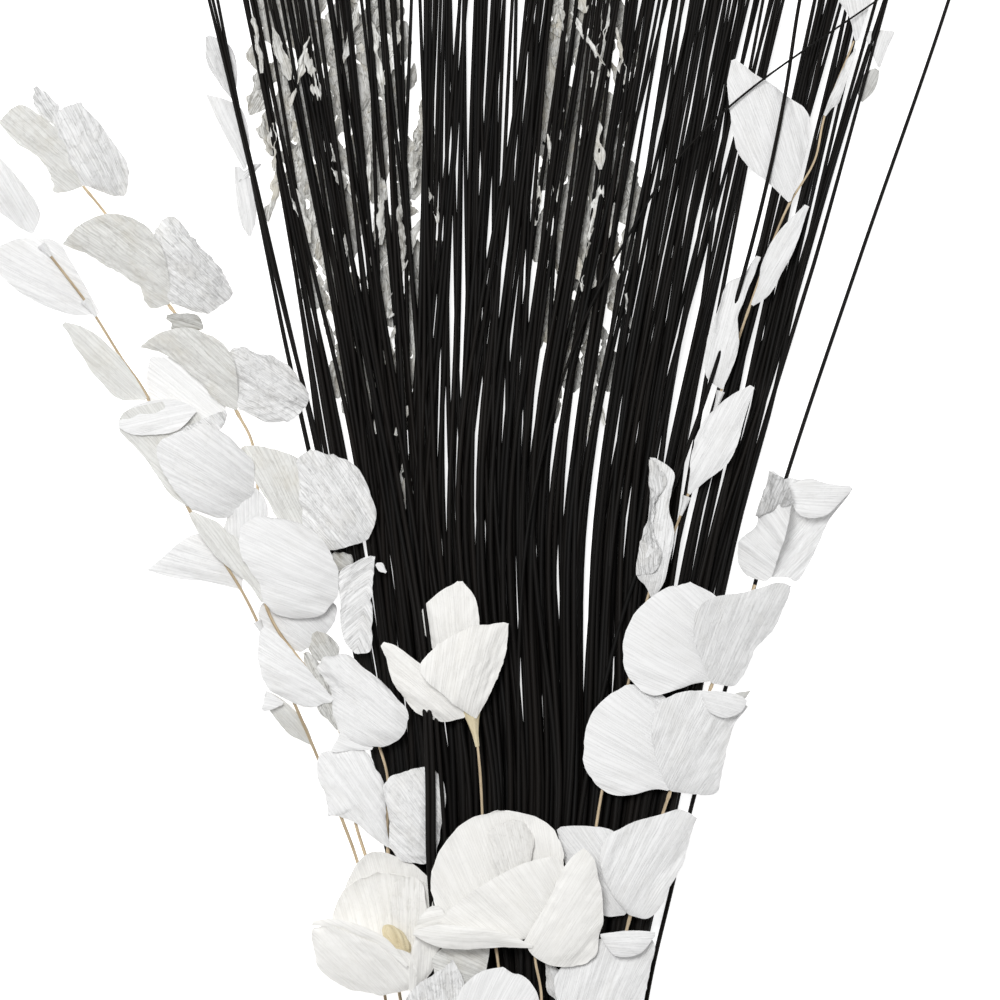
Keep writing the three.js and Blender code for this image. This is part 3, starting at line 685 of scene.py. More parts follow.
@dataclass(frozen=True)
class Twig:
    """A thin bare twig or flower stem along a smooth line, with a knot where each leaf pair joins it."""

    name: str
    path: tuple[Point, ...]
    radius: float = 1.4
    thin: float = 0.75
    tone: float = 1.0
    knots: tuple[Point, ...] = ()
    sheaths: tuple[Point, ...] = ()
    sides: int = 12
    knot_swell: float = 0.45
    knot_reach: float = 2.6
    sheath_steps: int = 12

    def line(self) -> Array:
        """The twig's centreline, a point every few millimetres."""
        reach = np.linalg.norm(np.diff(np.array(self.path, float), axis=0), axis=1).sum()
        return smooth_line(self.path, max(24, int(reach / 4)))

    def shell(self) -> Shell:
        """A tapered rod that swells by nearly half at its knots and is never quite straight or even."""
        line = self.line()
        random = random_for(self.name)
        share = np.linspace(0.0, 1.0, len(line))
        radius = self.radius * (self.thin + (1.0 - self.thin) * share)
        radius = radius * (1 + 0.05 * np.sin(share * 60 + random.uniform(0, 6)))
        for knot in self.knots:
            gap = np.linalg.norm(line - knot, axis=1)
            radius = radius * (1 + self.knot_swell * np.exp(-(gap / self.knot_reach) ** 2))
        line[:, 0] += 0.35 * np.sin(share * 34 + random.uniform(0, 6))
        tone = self.tone * (1 + 0.08 * np.sin(share * 21))
        shell = tube_shell(line[None], radius[None, :, None], self.sides)
        return shell.marked(tone=np.repeat(tone, self.sides))

    def sheath(self, knot: Point) -> Shell:
        """A papery funnel round the twig at a knot, open towards the tip: r = 1.1 + 1.5 t^1.6 radii."""
        line = self.line()
        nearest = int(np.argmin(np.linalg.norm(line - knot, axis=1)))
        sleeve = smooth_line(line[max(nearest - 1, 0):nearest + 4][::-1], self.sheath_steps)
        t = np.linspace(0.0, 1.0, self.sheath_steps)
        angle = 2 * np.pi * np.arange(self.sides) / self.sides
        radius = self.radius * (1.1 + 1.5 * t ** 1.6)
        rippled = radius[:, None] * (1 + 0.1 * t[:, None] * np.sin(3 * angle + 5 * t[:, None]))
        shell = tube_shell(sleeve[None], rippled[None], self.sides)
        return shell.marked(tone=0.97, crinkle=0.3, seed=float(nearest))


@dataclass(frozen=True)
class Spray:
    """A twig with its papery leaves, or a flower with its stem: what shows of it and what it stands for."""

    name: str
    twigs: tuple[Twig, ...]
    leaves: tuple[Leaf, ...]
    paper: Paper = Paper.WHITE_LEAF
    # the leaves drawn in the greyer shaded paper, whose colour paints their shade
    shaded_leaves: tuple[str, ...] = ()

    def build(self, finishes: Finishes) -> None:
        """Makes the twigs, their sheaths, the leaves of the frame and the small leaves between them."""
        for twig in self.twigs:
            make_piece(f"{twig.name}_wood", [twig.shell()], finishes.twig, (twig.name,))
            if twig.sheaths:
                sleeves = [twig.sheath(knot) for knot in twig.sheaths]
                material = finishes.papers[Paper.WHITE_LEAF]
                make_piece(f"{twig.name}_sheaths", sleeves, material)
        for leaf in self.leaves:
            # listed leaves take the greyer shaded paper: painted shade
            paper = Paper.SHADED_LEAF if leaf.name in self.shaded_leaves else self.paper
            stands_for = (leaf.name,) if leaf.in_frame else ()
            material = finishes.papers[paper]
            make_piece(f"{leaf.name}_sheet", [leaf.shell()], material, stands_for)


SMALL_ROWS = 40
SMALL_COLUMNS = 28


def small_leaf(name: str, base: Point, tip: Point, left: tuple[Point, ...], right: tuple[Point, ...],
               **looks: Any) -> Leaf:
    """A leaf that is too small for the frame, on a coarser grid."""
    return Leaf(name, base, tip, left, right, in_frame=False, rows=SMALL_ROWS, columns=SMALL_COLUMNS, **looks)


OUTER_SPRAY = Spray(
    "outer_spray",
    twigs=(
        Twig("outer_twig",
             ((-368, 205, 11), (-330, 156, 10.5), (-304, 114, 10), (-284, 84, 10), (-260, 12, 10),
              (-248, -10, 10), (-208, -72, 10), (-193, -101, 10), (-150, -199, 8), (-126, -258, 6),
              (-114, -292, 5), (-92, -400, 4), (-66, -585, 3)),
             tone=0.8,
             knots=((-368, 205, 11), (-330, 156, 10), (-284, 84, 10), (-248, -10, 10), (-193, -101, 10)),
             sheaths=((-368, 205, 11), (-330, 156, 10), (-193, -101, 10))),
    ),
    leaves=(
        Leaf("outer_leaf_1", (-375, 214, 14), (-418, 284, 6), rise=8, tone=0.97,
             left=((-391, 222, 5), (-408, 240, 4)),
             right=((-369, 230, 10), (-384, 255, 14), (-399, 272, 12))),
        Leaf("outer_leaf_2", (-322, 150, 6), (-413, 198, 3), rise=2, tone=0.99,
             left=((-344, 149, 3), (-380, 163, 2), (-403, 182, 2)),
             right=((-333, 172, 6), (-345, 193, 6), (-356, 208, 5), (-387, 210, 3))),
        Leaf("outer_leaf_3", (-284, 81, 13), (-351, 142, 4), rise=5,
             left=((-310, 83, 4), (-333, 111, 3)),
             right=((-293, 99, 14), (-308, 119, 16), (-334, 139, 8))),
        Leaf("outer_leaf_4", (-250, -5, 13), (-262, 80, 22), rise=3, vein=135,
             left=((-264, 4, 12), (-284, 33, 13), (-306, 59, 16), (-300, 71, 22)),
             right=((-247, 12, 14), (-243, 40, 15), (-240, 66, 18))),
        Leaf("outer_leaf_5", (-246, -8, 17), (-238, 61, 36), rise=12, vein=157, crinkle=0.3,
             left=((-264, 14, 26), (-275, 42, 34)),
             right=((-222, -14, 14), (-200, 2, 14), (-197, 26, 20), (-209, 43, 26), (-223, 55, 32))),
        Leaf("outer_leaf_6", (-190, -102, 14), (-134, -161, 18), rise=8, vein=145,
             left=((-184, -104, 16), (-174, -112, 18), (-158, -130, 20), (-144, -146, 20)),
             right=((-194, -110, 11), (-194, -126, 10), (-190, -146, 10), (-184, -154, 11),
                    (-170, -162, 13), (-152, -165, 15))),
        small_leaf("outer_leaf_pointed", (-207, -71, 8), (-283, -56, 3), rise=2, tip_half=0.6,
                   left=((-237, -66, 5), (-261, -63, 4)),
                   right=((-208, -50, 7), (-243, -27, 6), (-266, -41, 4))),
        small_leaf("outer_leaf_narrow", (-151, -196, 8), (-188, -155, 4), rise=2, tone=0.86,
                   left=((-170, -188, 5), (-184, -172, 4)), right=((-156, -180, 8), (-172, -162, 6))),
        small_leaf("outer_leaf_curl", (-243, 72, 24), (-306, 60, 18), rise=1, crinkle=0.2, tone=1.03,
                   left=((-258, 56, 25), (-280, 52, 22), (-296, 53, 19)),
                   right=((-258, 80, 24), (-283, 79, 22), (-299, 72, 20))),
        small_leaf("outer_leaf_scrap", (-174, -163, 14), (-189, -160, 12), rise=1, crinkle=0.2, tone=1.0,
                   left=((-190, -169, 11),), right=((-188, -153, 12),)),
    ),
    shaded_leaves=("outer_leaf_3", "outer_leaf_4", "outer_leaf_narrow"),
)

INNER_SPRAY = Spray(
    "inner_spray",
    twigs=(
        Twig("inner_twig",
             ((-335, 252, 13), (-316, 229, 12), (-264, 154, 11), (-250, 136, 11), (-210, 69, 11),
              (-198, 44, 11), (-187, -86, 12), (-153, -139, 12), (-130, -182, 11), (-116, -258, 8),
              (-106, -292, 6), (-80, -400, 4), (-56, -585, 3)),
             knots=((-331, 246, 12), (-264, 154, 11), (-210, 69, 11), (-187, -86, 12), (-130, -182, 11))),
    ),
    leaves=(
        Leaf("inner_leaf_1", (-335, 252, 15), (-402, 305, 8), rise=4, vein=140, crinkle=0.4,
             left=((-349, 247, 8), (-359, 247, 6), (-363, 265, 7), (-374, 277, 7), (-390, 287, 6)),
             right=((-338, 276, 22), (-352, 294, 26), (-370, 309, 22), (-385, 317, 14))),
        Leaf("inner_leaf_2", (-333, 252, 16), (-337, 318, 30), rise=10, vein=122, crinkle=0.8,
             left=((-345, 270, 20), (-358, 296, 22), (-356, 309, 24)),
             right=((-318, 247, 10), (-303, 243, 8), (-298, 256, 8), (-300, 270, 10), (-312, 289, 17),
                    (-324, 306, 24))),
        Leaf("inner_leaf_3", (-265, 158, 15), (-351, 207, 8), rise=4, vein=148, crinkle=0.5,
             left=((-281, 154, 8), (-294, 174, 10), (-310, 183, 11), (-331, 196, 10), (-347, 203, 8)),
             right=((-265, 176, 22), (-270, 200, 34), (-283, 219, 38), (-308, 229, 32), (-332, 224, 20))),
        Leaf("inner_leaf_4", (-262, 157, 17), (-264, 227, 20), rise=11, vein=145, crinkle=0.9,
             left=((-272, 175, 16), (-282, 200, 20), (-278, 216, 22)),
             right=((-236, 150, 8), (-215, 164, 8), (-221, 181, 14), (-233, 197, 20), (-248, 215, 22))),
        Leaf("inner_leaf_5", (-211, 73, 14), (-288, 124, 10), rise=3, vein=145, crinkle=0.4,
             left=((-226, 78, 12), (-240, 93, 13), (-256, 109, 12), (-273, 118, 10)),
             right=((-210, 90, 23), (-213, 110, 34), (-223, 126, 38), (-246, 137, 34), (-270, 135, 22))),
        Leaf("inner_leaf_6", (-208, 72, 17), (-204, 122, 22), rise=9, vein=155, crinkle=0.8,
             left=((-216, 95, 16), (-226, 112, 20), (-216, 121, 21)),
             right=((-183, 62, 15), (-162, 68, 17), (-153, 79, 20), (-163, 101, 22), (-180, 115, 22))),
        Leaf("inner_leaf_7", (-160, -40, 17), (-150, 40, 24), rise=8, vein=140, crinkle=0.8,
             left=((-158, -10, 18), (-163, 20, 18), (-162, 33, 20)),
             right=((-134, -40, 24), (-107, -32, 29), (-99, -14, 30), (-103, 2, 29),
                    (-113, 25, 26), (-132, 37, 25))),
        Leaf("inner_leaf_8", (-190, -82, 16), (-248, -10, 17), rise=2,
             left=((-200, -70, 14), (-214, -56, 14), (-226, -46, 15), (-234, -36, 15), (-246, -18, 16)),
             right=((-190, -72, 18), (-200, -48, 21), (-208, -32, 23), (-218, -26, 23), (-226, -18, 22),
                    (-238, -13, 20))),
        Leaf("inner_leaf_9", (-188, -83, 18), (-182, -14, 30), rise=10, vein=165, crinkle=0.15,
             left=((-194, -66, 24), (-206, -46, 29), (-209, -32, 31), (-208, -22, 31), (-200, -16, 30)),
             right=((-182, -90, 18), (-166, -95, 19), (-150, -94, 22), (-136, -86, 25), (-130, -74, 27),
                    (-129, -58, 29), (-134, -46, 30), (-144, -30, 30), (-160, -18, 30))),
        Leaf("inner_leaf_10", (-128, -186, 18), (-140, -126, 17), rise=11, vein=150,
             left=((-134, -168, 16), (-136, -152, 15), (-142, -144, 14), (-148, -134, 15)),
             right=((-118, -194, 22), (-98, -198, 27), (-88, -196, 29), (-75, -184, 31), (-74, -170, 31),
                    (-82, -160, 31), (-94, -146, 29), (-110, -134, 26), (-120, -125, 22))),
        small_leaf("inner_leaf_ribbed", (-352, 298, 15), (-373, 331, 18), crinkle=0.9, tone=0.96,
                   left=((-366, 306, 16), (-373, 318, 17)),
                   right=((-350, 308, 16), (-353, 315, 17), (-361, 326, 18))),
        small_leaf("inner_leaf_curled", (-238, 138, 15), (-268, 147, 10), rise=4, crinkle=0.8, tone=0.72,
                   left=((-250, 134, 10), (-262, 136, 9)), right=((-242, 148, 16), (-256, 150, 14))),
        small_leaf("inner_leaf_back", (-220, 66, 7), (-281, 114, 5), rise=1, crinkle=0.15, tone=1.02,
                   left=((-250, 60, 5), (-278, 74, 4), (-284, 96, 4)),
                   right=((-224, 90, 6), (-250, 112, 6))),
        small_leaf("inner_leaf_fold", (-256, 56, 20), (-219, 70, 25), rise=1, crinkle=0.9, tone=0.98,
                   vein=150, left=((-244, 62, 24), (-231, 68, 25)),
                   right=((-244, 54, 20), (-232, 53, 22), (-222, 58, 24))),
        small_leaf("inner_leaf_slip", (-200, -60, 14), (-198, 10, 14), rise=2, tone=0.95, crinkle=0.3,
                   left=((-226, -40, 12), (-222, -22, 12), (-212, 0, 13)),
                   right=((-186, -10, 14), (-190, 4, 14))),
        small_leaf("inner_leaf_side", (-158, -42, 14), (-206, 43, 14), rise=3, crinkle=0.4, tone=0.99,
                   left=((-176, -20, 14), (-186, -2, 14), (-196, 14, 14), (-205, 33, 14)),
                   right=((-140, -10, 15), (-150, 24, 16), (-172, 38, 15), (-190, 43, 14))),
        small_leaf("inner_leaf_under", (-160, -122, 8), (-165, -75, 12), rise=3, tone=0.9, vein=150,
                   left=((-180, -114, 8), (-193, -98, 8), (-192, -84, 9)),
                   right=((-148, -114, 9), (-136, -103, 10), (-131, -86, 11), (-145, -76, 12))),
        small_leaf("inner_leaf_strip", (-130, -184, 14), (-156, -122, 11), rise=3, crinkle=0.9, tone=0.88,
                   left=((-144, -170, 11), (-158, -146, 10)), right=((-132, -160, 14), (-142, -134, 13))),
        small_leaf("inner_leaf_veined", (-133, -132, 13), (-150, -106, 10), rise=2, crinkle=0.6, tone=0.86,
                   left=((-148, -128, 10), (-155, -116, 9)), right=((-129, -118, 13), (-138, -108, 12))),
        small_leaf("inner_leaf_end", (-118, -56, 15), (-134, -43, 13), rise=3, crinkle=0.7, tone=0.8,
                   left=((-130, -57, 12),), right=((-119, -44, 15),)),
        small_leaf("inner_leaf_tab", (-102, -199, 24), (-128, -186, 22), rise=1, crinkle=0.1, tip_half=0.5,
                   left=((-120, -201, 23), (-135, -201, 22)), right=((-115, -193, 23),)),
        small_leaf("inner_leaf_chip", (-99, -51, 34), (-91, -58, 34), rise=0.5, crinkle=0.1, tip_half=0.8,
                   left=((-94, -50, 34),), right=((-97, -57, 34),)),
    ),
    shaded_leaves=("inner_leaf_1", "inner_leaf_3", "inner_leaf_5", "inner_leaf_8", "inner_leaf_curled",
          "inner_leaf_side", "inner_leaf_veined", "inner_leaf_end", "inner_leaf_strip"),
)

SHORT_SPRAY = Spray(
    "short_spray",
    twigs=(
        Twig("short_twig",
             ((-120, -129, 17), (-108, -170, 13), (-97, -198, 11), (-90, -222, 11), (-90, -282, 11),
              (-66, -400, 6), (-46, -585, 4)),
             knots=((-120, -129, 17), (-90, -282, 11))),
    ),
    leaves=(
        Leaf("short_leaf_1", (-115, -123, 25), (-102, -45, 31), rise=-3, crinkle=0.7, tone=1.03, pinnate=True,
             left=((-124, -114, 24), (-127, -104, 24), (-128, -80, 25), (-128, -58, 26), (-118, -50, 28)),
             right=((-104, -121, 28), (-103, -98, 29), (-102, -64, 30))),
        Leaf("short_leaf_2", (-89, -278, 18), (-128, -199, 15), rise=7, vein=126,
             left=((-104, -269, 17), (-118, -258, 14), (-130, -253, 11), (-139, -255, 9),
                   (-139, -240, 10), (-146, -224, 10), (-147, -213, 11), (-144, -203, 12)),
             right=((-91, -262, 20), (-92, -240, 22), (-94, -224, 24), (-100, -214, 24),
                    (-103, -206, 23), (-111, -199, 20))),
        Leaf("short_leaf_3", (-88, -279, 21), (-54, -214, 35), rise=5, vein=140, crinkle=0.6,
             left=((-89, -264, 25), (-92, -243, 27), (-94, -229, 29), (-88, -222, 31), (-80, -218, 33),
                   (-67, -214, 34)),
             right=((-80, -288, 25), (-67, -291, 29), (-54, -290, 33), (-50, -278, 35), (-46, -258, 35),
                    (-43, -240, 36), (-46, -222, 36))),
    ),
)

BACK_SPRAY = Spray(
    "back_spray",
    twigs=(
        Twig("back_twig",
             ((284, 368, 15.5), (260, 308, 17), (252, 272, 18), (230, 233, 19.5), (198, 150, 22),
              (176, 84, 24), (149, 0, 26), (138, -28, 27), (120, -72, 29), (103, -146, 32), (81, -234, 37),
              (70, -330, 42), (66, -400, 44.5), (28, -585, 57)),
             thin=0.6, knots=((232, 237, 19.5), (198, 150, 22), (176, 84, 24), (149, 0, 26), (123, -72, 29)),
             sheaths=((176, 84, 24), (149, 0, 26))),
    ),
    leaves=(
        Leaf("back_leaf_1", (122, -78, 32), (122, 34, 33), rise=3, vein=80, crinkle=0.6,
             left=((116, -68, 32), (109, -61, 32), (110, -50, 33), (113, -29, 33), (119, -5, 32),
                   (119, 16, 32)),
             right=((131, -66, 37), (135, -50, 40), (139, -32, 42), (139, -22, 42), (135, -8, 42),
                    (137, 8, 41), (139, 22, 39))),
        Leaf("back_leaf_2", (151, 5, 29), (202, 91, 27), rise=4,
             left=((152, 22, 30), (154, 40, 30), (164, 64, 29), (181, 80, 28)),
             right=((167, 17, 34), (182, 29, 36), (190, 46, 36), (198, 72, 32))),
        Leaf("back_leaf_3", (177, 89, 27), (207, 195, 24), rise=4,
             left=((165, 99, 27), (166, 130, 28), (174, 155, 28), (181, 173, 28), (195, 182, 26)),
             right=((185, 104, 30), (191, 122, 32), (190, 145, 32), (197, 166, 29))),
        Leaf("back_leaf_4", (202, 156, 26), (246, 236, 25), rise=3,
             left=((206, 172, 29), (210, 193, 31), (220, 212, 30), (233, 226, 28)),
             right=((215, 164, 31), (228, 186, 31), (240, 213, 28))),
        Leaf("back_leaf_5", (232, 239, 23), (187, 353, 23), rise=5,
             left=((217, 252, 24), (192, 275, 26), (185, 306, 26), (182, 334, 25)),
             right=((238, 254, 23), (247, 284, 22), (248, 308, 21), (228, 326, 23), (204, 341, 23))),
        small_leaf("back_leaf_strip", (110, -60, 34), (121, 32, 36), rise=1, crinkle=1.2, tone=0.93, vein=100,
                   left=((109, -50, 35), (113, -29, 35), (119, -5, 35), (119, 16, 35)),
                   right=((124, -57, 41), (129, -42, 43), (121, -22, 42), (124, -2, 43), (133, 16, 42))),
        small_leaf("back_leaf_twisted", (260, 308, 21), (285, 362, 19), rise=1, crinkle=0.5, tip_half=0.6,
                   left=((265, 324, 23), (269, 335, 20), (276, 351, 19)),
                   right=((267, 315, 18), (271, 318, 18), (277, 334, 24), (281, 347, 23))),
        small_leaf("back_leaf_top", (286, 368, 17), (272, 432, 13), rise=2, crinkle=0.4,
                   left=((283, 374, 17), (281, 384, 17), (272, 400, 15), (262, 414, 14)),
                   right=((291, 381, 18), (295, 393, 18), (298, 406, 16), (290, 424, 14))),
        small_leaf("back_leaf_corner", (304, 347, 13), (316, 376, 11), rise=1, crinkle=0.3, tip_half=1.2,
                   left=((298, 360, 12), (293, 375, 11), (303, 377, 11)),
                   right=((310, 360, 13), (314, 369, 12))),
        small_leaf("back_leaf_grey", (290, 320, 9), (303, 346, 8), rise=1, crinkle=0.5, tone=0.84,
                   left=((287, 330, 8), (293, 342, 8)), right=((300, 328, 9), (304, 338, 9))),
    ),
    shaded_leaves=("back_leaf_grey",),
)

FRONT_SPRAY = Spray(
    "front_spray",
    twigs=(
        Twig("front_twig",
             ((204, -68, 20), (169, -149, 23), (135, -236, 29), (103, -335, 37.5), (88, -400, 41),
              (44, -585, 56)),
             knots=((204, -68, 20), (169, -149, 23), (135, -236, 29), (103, -335, 37.5))),
    ),
    leaves=(
        Leaf("front_leaf_1", (212, -65, 22), (217, 23, 30), rise=3, vein=150, crinkle=0.2,
             left=((197, -60, 19), (191, -51, 19), (190, -40, 20), (195, -29, 22), (205, -19, 27),
                   (206, -9, 29), (211, 8, 30)),
             right=((217, -62, 24), (222, -47, 30), (228, -29, 36), (232, -9, 39), (233, 0, 40),
                    (228, 15, 36))),
        Leaf("front_leaf_2", (217, -61, 21), (281, 10, 22), rise=-4, vein=48, tone=0.97,
             left=((214, -48, 20), (219, -30, 21), (222, -10, 23), (223, 4, 24), (228, 16, 26),
                   (246, 15, 26), (256, 11, 25), (264, 7, 24)),
             right=((230, -62, 18), (238, -65, 16), (246, -54, 15), (256, -34, 15), (264, -16, 17),
                    (278, 2, 20))),
        Leaf("front_leaf_3", (167, -145, 28), (150, -66, 38), rise=4, vein=150, crinkle=0.1,
             left=((154, -147, 34), (134, -154, 41), (122, -156, 42), (110, -150, 43), (100, -136, 44),
                   (98, -120, 44), (100, -106, 43), (108, -90, 42), (120, -78, 41), (134, -70, 40)),
             right=((174, -124, 28), (178, -96, 30), (173, -77, 33), (162, -70, 36))),
        Leaf("front_leaf_4", (169, -146, 31), (231, -68, 30), rise=4, vein=66, tone=0.94, crinkle=0.4,
             left=((162, -130, 36), (155, -110, 41), (155, -96, 43), (160, -84, 44), (173, -77, 43),
                   (192, -74, 39), (208, -70, 35), (222, -66, 32)),
             right=((178, -148, 28), (188, -149, 26), (198, -136, 25), (206, -118, 24), (216, -108, 24),
                    (224, -96, 25), (232, -76, 27))),
        Leaf("front_leaf_5", (135, -232, 33), (102, -148, 37), rise=3, vein=155, crinkle=0.1,
             left=((125, -231, 35), (101, -236, 40), (88, -235, 41), (75, -225, 42), (67, -211, 42),
                   (67, -197, 42), (69, -181, 41), (75, -168, 40), (88, -155, 39)),
             right=((142, -212, 31), (144, -190, 32), (138, -165, 33), (122, -150, 35))),
        Leaf("front_leaf_6", (136, -232, 36), (197, -164, 32), rise=4, vein=62, tone=0.96, crinkle=0.35,
             left=((129, -219, 40), (124, -203, 42), (121, -187, 43), (123, -173, 42), (129, -161, 41),
                   (140, -155, 39), (160, -152, 36), (181, -158, 34)),
             right=((154, -235, 34), (173, -235, 32), (178, -214, 30), (184, -192, 30), (190, -176, 30))),
        Leaf("front_leaf_7", (103, -331, 43), (156, -253, 38), rise=4, vein=58,
             left=((88, -312, 48), (80, -288, 50), (84, -270, 50), (96, -262, 49), (109, -256, 48),
                   (128, -251, 45), (144, -247, 41)),
             right=((118, -334, 42), (130, -322, 40), (136, -308, 38), (148, -287, 36), (154, -266, 36))),
        Leaf("front_leaf_8", (80, -424, 50), (116, -346, 46), rise=4,
             left=((50, -408, 52), (44, -380, 52), (62, -362, 52), (82, -349, 50)),
             right=((102, -426, 47), (114, -400, 43), (121, -372, 41), (123, -354, 43))),
        small_leaf("front_leaf_inside", (205, -13, 34), (217, 23, 36), rise=1, crinkle=1.3, tone=0.8, vein=75,
                   left=((208, 0, 34), (213, 16, 35)),
                   right=((221, -7, 40), (232, -3, 44), (231, 8, 45), (225, 19, 41))),
        small_leaf("front_leaf_cuff", (229, 9, 29), (281, 9, 27), rise=3, wave=0.5,
                   left=((246, 17, 29), (264, 13, 28)),
                   right=((240, -12, 31), (254, -14, 32), (264, -10, 31), (274, 0, 29))),
        small_leaf("front_leaf_roll", (161, -154, 39), (197, -162, 37), rise=3, wave=0.5,
                   left=((178, -153, 39), (191, -156, 38)),
                   right=((167, -169, 42), (179, -174, 42), (192, -170, 39))),
        small_leaf("front_leaf_corner", (180, -160, 27), (200, -153, 29), rise=1, tone=0.8, tip_half=0.6,
                   left=((190, -154, 28),), right=((193, -163, 27),)),
        small_leaf("front_leaf_left", (100, -331, 38), (47, -262, 43), rise=2, tone=0.99,
                   left=((84, -332, 42), (66, -316, 43), (52, -290, 43)),
                   right=((104, -300, 40), (104, -276, 41), (90, -264, 42), (68, -260, 43))),
        small_leaf("front_leaf_lip", (80, -347, 54), (124, -346, 51), rise=3, wave=0.5,
                   left=((100, -343, 55),), right=((92, -363, 57), (110, -362, 55))),
        small_leaf("front_leaf_low", (52, -404, 47), (38, -369, 47), rise=1, tone=0.85, crinkle=0.6,
                   left=((38, -392, 47),), right=((51, -380, 48),)),
    ),
    shaded_leaves=("front_leaf_corner",),
)

BUD_FLOWER = Spray(
    "bud_flower",
    twigs=(
        Twig("bud_stem",
             ((-22, -168, 38), (-18, -192, 38), (-14, -252, 40), (-6, -330, 43), (0, -400, 47.5),
              (-13, -585, 57))),
    ),
    leaves=(
        Leaf("bud_petal_1", (-25, -166, 38), (-32, -65, 36), rise=3,
             left=((-46, -134, 36), (-64, -92, 34), (-50, -75, 34)),
             right=((-13, -140, 38), (-16, -100, 37), (-20, -78, 36))),
        Leaf("bud_petal_2", (-28, -173, 42), (-94, -115, 38), rise=3,
             left=((-46, -177, 38), (-69, -169, 36), (-87, -140, 36)),
             right=((-37, -151, 49), (-66, -129, 46), (-84, -116, 42))),
        Leaf("bud_petal_3", (-20, -174, 44), (5, -98, 46), rise=6,
             left=((-40, -160, 53), (-64, -134, 56), (-46, -113, 54), (-22, -101, 51)),
             right=((-10, -158, 44), (2, -131, 44), (6, -112, 44))),
    ),
    paper=Paper.WHITE_PETAL,
)

OPEN_FLOWER = Spray(
    "open_flower",
    twigs=(Twig("open_stem", ((28, -364, 53), (33, -400, 50), (30, -470, 53), (12, -585, 57.5))),),
    leaves=(
        Leaf("open_petal_1", (28, -342, 54), (3, -248, 49), rise=-4, vein=105, crinkle=0.15,
             left=((0, -344, 53), (-24, -340, 51), (-40, -334, 50), (-51, -325, 49), (-55, -309, 48),
                   (-53, -291, 48), (-45, -275, 48), (-32, -260, 48), (-19, -252, 48)),
             right=((45, -325, 53), (48, -301, 54), (51, -288, 54), (49, -275, 54), (40, -260, 53),
                    (24, -251, 51))),
        Leaf("open_petal_2", (26, -348, 57), (44, -284, 62), rise=2, vein=135, crinkle=0.2,
             left=((2, -354, 57), (-24, -350, 56), (-44, -343, 55), (-46, -334, 56), (-29, -317, 59),
                   (-8, -303, 61), (19, -289, 62)),
             right=((42, -328, 59), (52, -310, 59), (51, -292, 60))),
        Leaf("open_petal_3", (20, -352, 62), (68, -278, 66), rise=6, vein=62, crinkle=0.2,
             left=((28, -336, 63), (38, -320, 65), (44, -306, 67), (55, -286, 67)),
             right=((24, -360, 60), (34, -368, 58), (50, -372, 57), (66, -370, 57), (76, -362, 58),
                    (80, -346, 59), (82, -326, 61), (80, -304, 63), (74, -285, 65))),
        Leaf("open_petal_4", (26, -355, 64), (-69, -345, 58), rise=3, vein=175, crinkle=0.2,
             left=((-8, -357, 62), (-30, -358, 61), (-50, -356, 60)),
             right=((-2, -343, 67), (-30, -339, 68), (-50, -338, 64))),
        small_leaf("open_petal_inner", (20, -306, 57), (8, -255, 52), rise=2, crinkle=0.5, tone=0.93,
                   left=((0, -300, 56), (-7, -280, 54), (-9, -265, 52)),
                   right=((25, -286, 57), (27, -268, 54), (21, -258, 52))),
        small_leaf("open_petal_spur", (-42, -335, 56), (-68, -344, 52), rise=1,
                   left=((-55, -343, 54),), right=((-48, -324, 55), (-57, -325, 54))),
    ),
    paper=Paper.WHITE_PETAL,
)

SIDE_FLOWER = Spray(
    "side_flower",
    twigs=(Twig("side_stem", ((-70, -396, 30), (-66, -430, 24), (-56, -500, 22), (-44, -585, 20))),),
    leaves=(
        Leaf("side_petal_1", (-75, -385, 32), (-96, -299, 28), rise=-6, vein=98,
             left=((-110, -362, 22), (-134, -340, 20), (-132, -326, 22), (-124, -312, 24),
                   (-112, -303, 26)),
             right=((-62, -352, 36), (-54, -322, 36), (-58, -309, 35), (-74, -301, 32))),
        Leaf("side_petal_2", (-73, -391, 35), (-150, -344, 32), rise=6, vein=130,
             left=((-98, -396, 28), (-128, -390, 22), (-146, -376, 20), (-149, -358, 24)),
             right=((-66, -378, 44), (-72, -362, 49), (-94, -355, 52), (-115, -347, 52), (-136, -339, 46))),
        small_leaf("side_petal_back", (-70, -385, 24), (-98, -282, 22), rise=-3, tone=0.97,
                   left=((-100, -352, 16), (-126, -322, 13), (-121, -303, 15), (-112, -288, 18)),
                   right=((-61, -350, 30), (-54, -322, 31), (-57, -304, 29), (-74, -289, 25))),
        small_leaf("side_petal_inner", (-71, -385, 37), (-70, -301, 37), rise=-3, crinkle=0.5, tone=0.97,
                   left=((-84, -350, 36), (-88, -322, 36), (-82, -304, 36)),
                   right=((-61, -350, 42), (-60, -321, 42), (-62, -307, 39))),
        small_leaf("side_petal_edge", (-72, -392, 40), (-50, -326, 46), rise=2, vein=90,
                   left=((-72, -372, 46), (-66, -345, 48)),
                   right=((-58, -382, 38), (-49, -362, 40), (-46, -338, 44))),
        small_leaf("side_petal_rim", (-74, -372, 50), (-150, -338, 40), rise=2, wave=0.4, tone=1.02,
                   left=((-92, -358, 52), (-112, -348, 51), (-134, -341, 46)),
                   right=((-90, -350, 54), (-108, -340, 54), (-134, -334, 47))),
    ),
    paper=Paper.WHITE_PETAL,
)

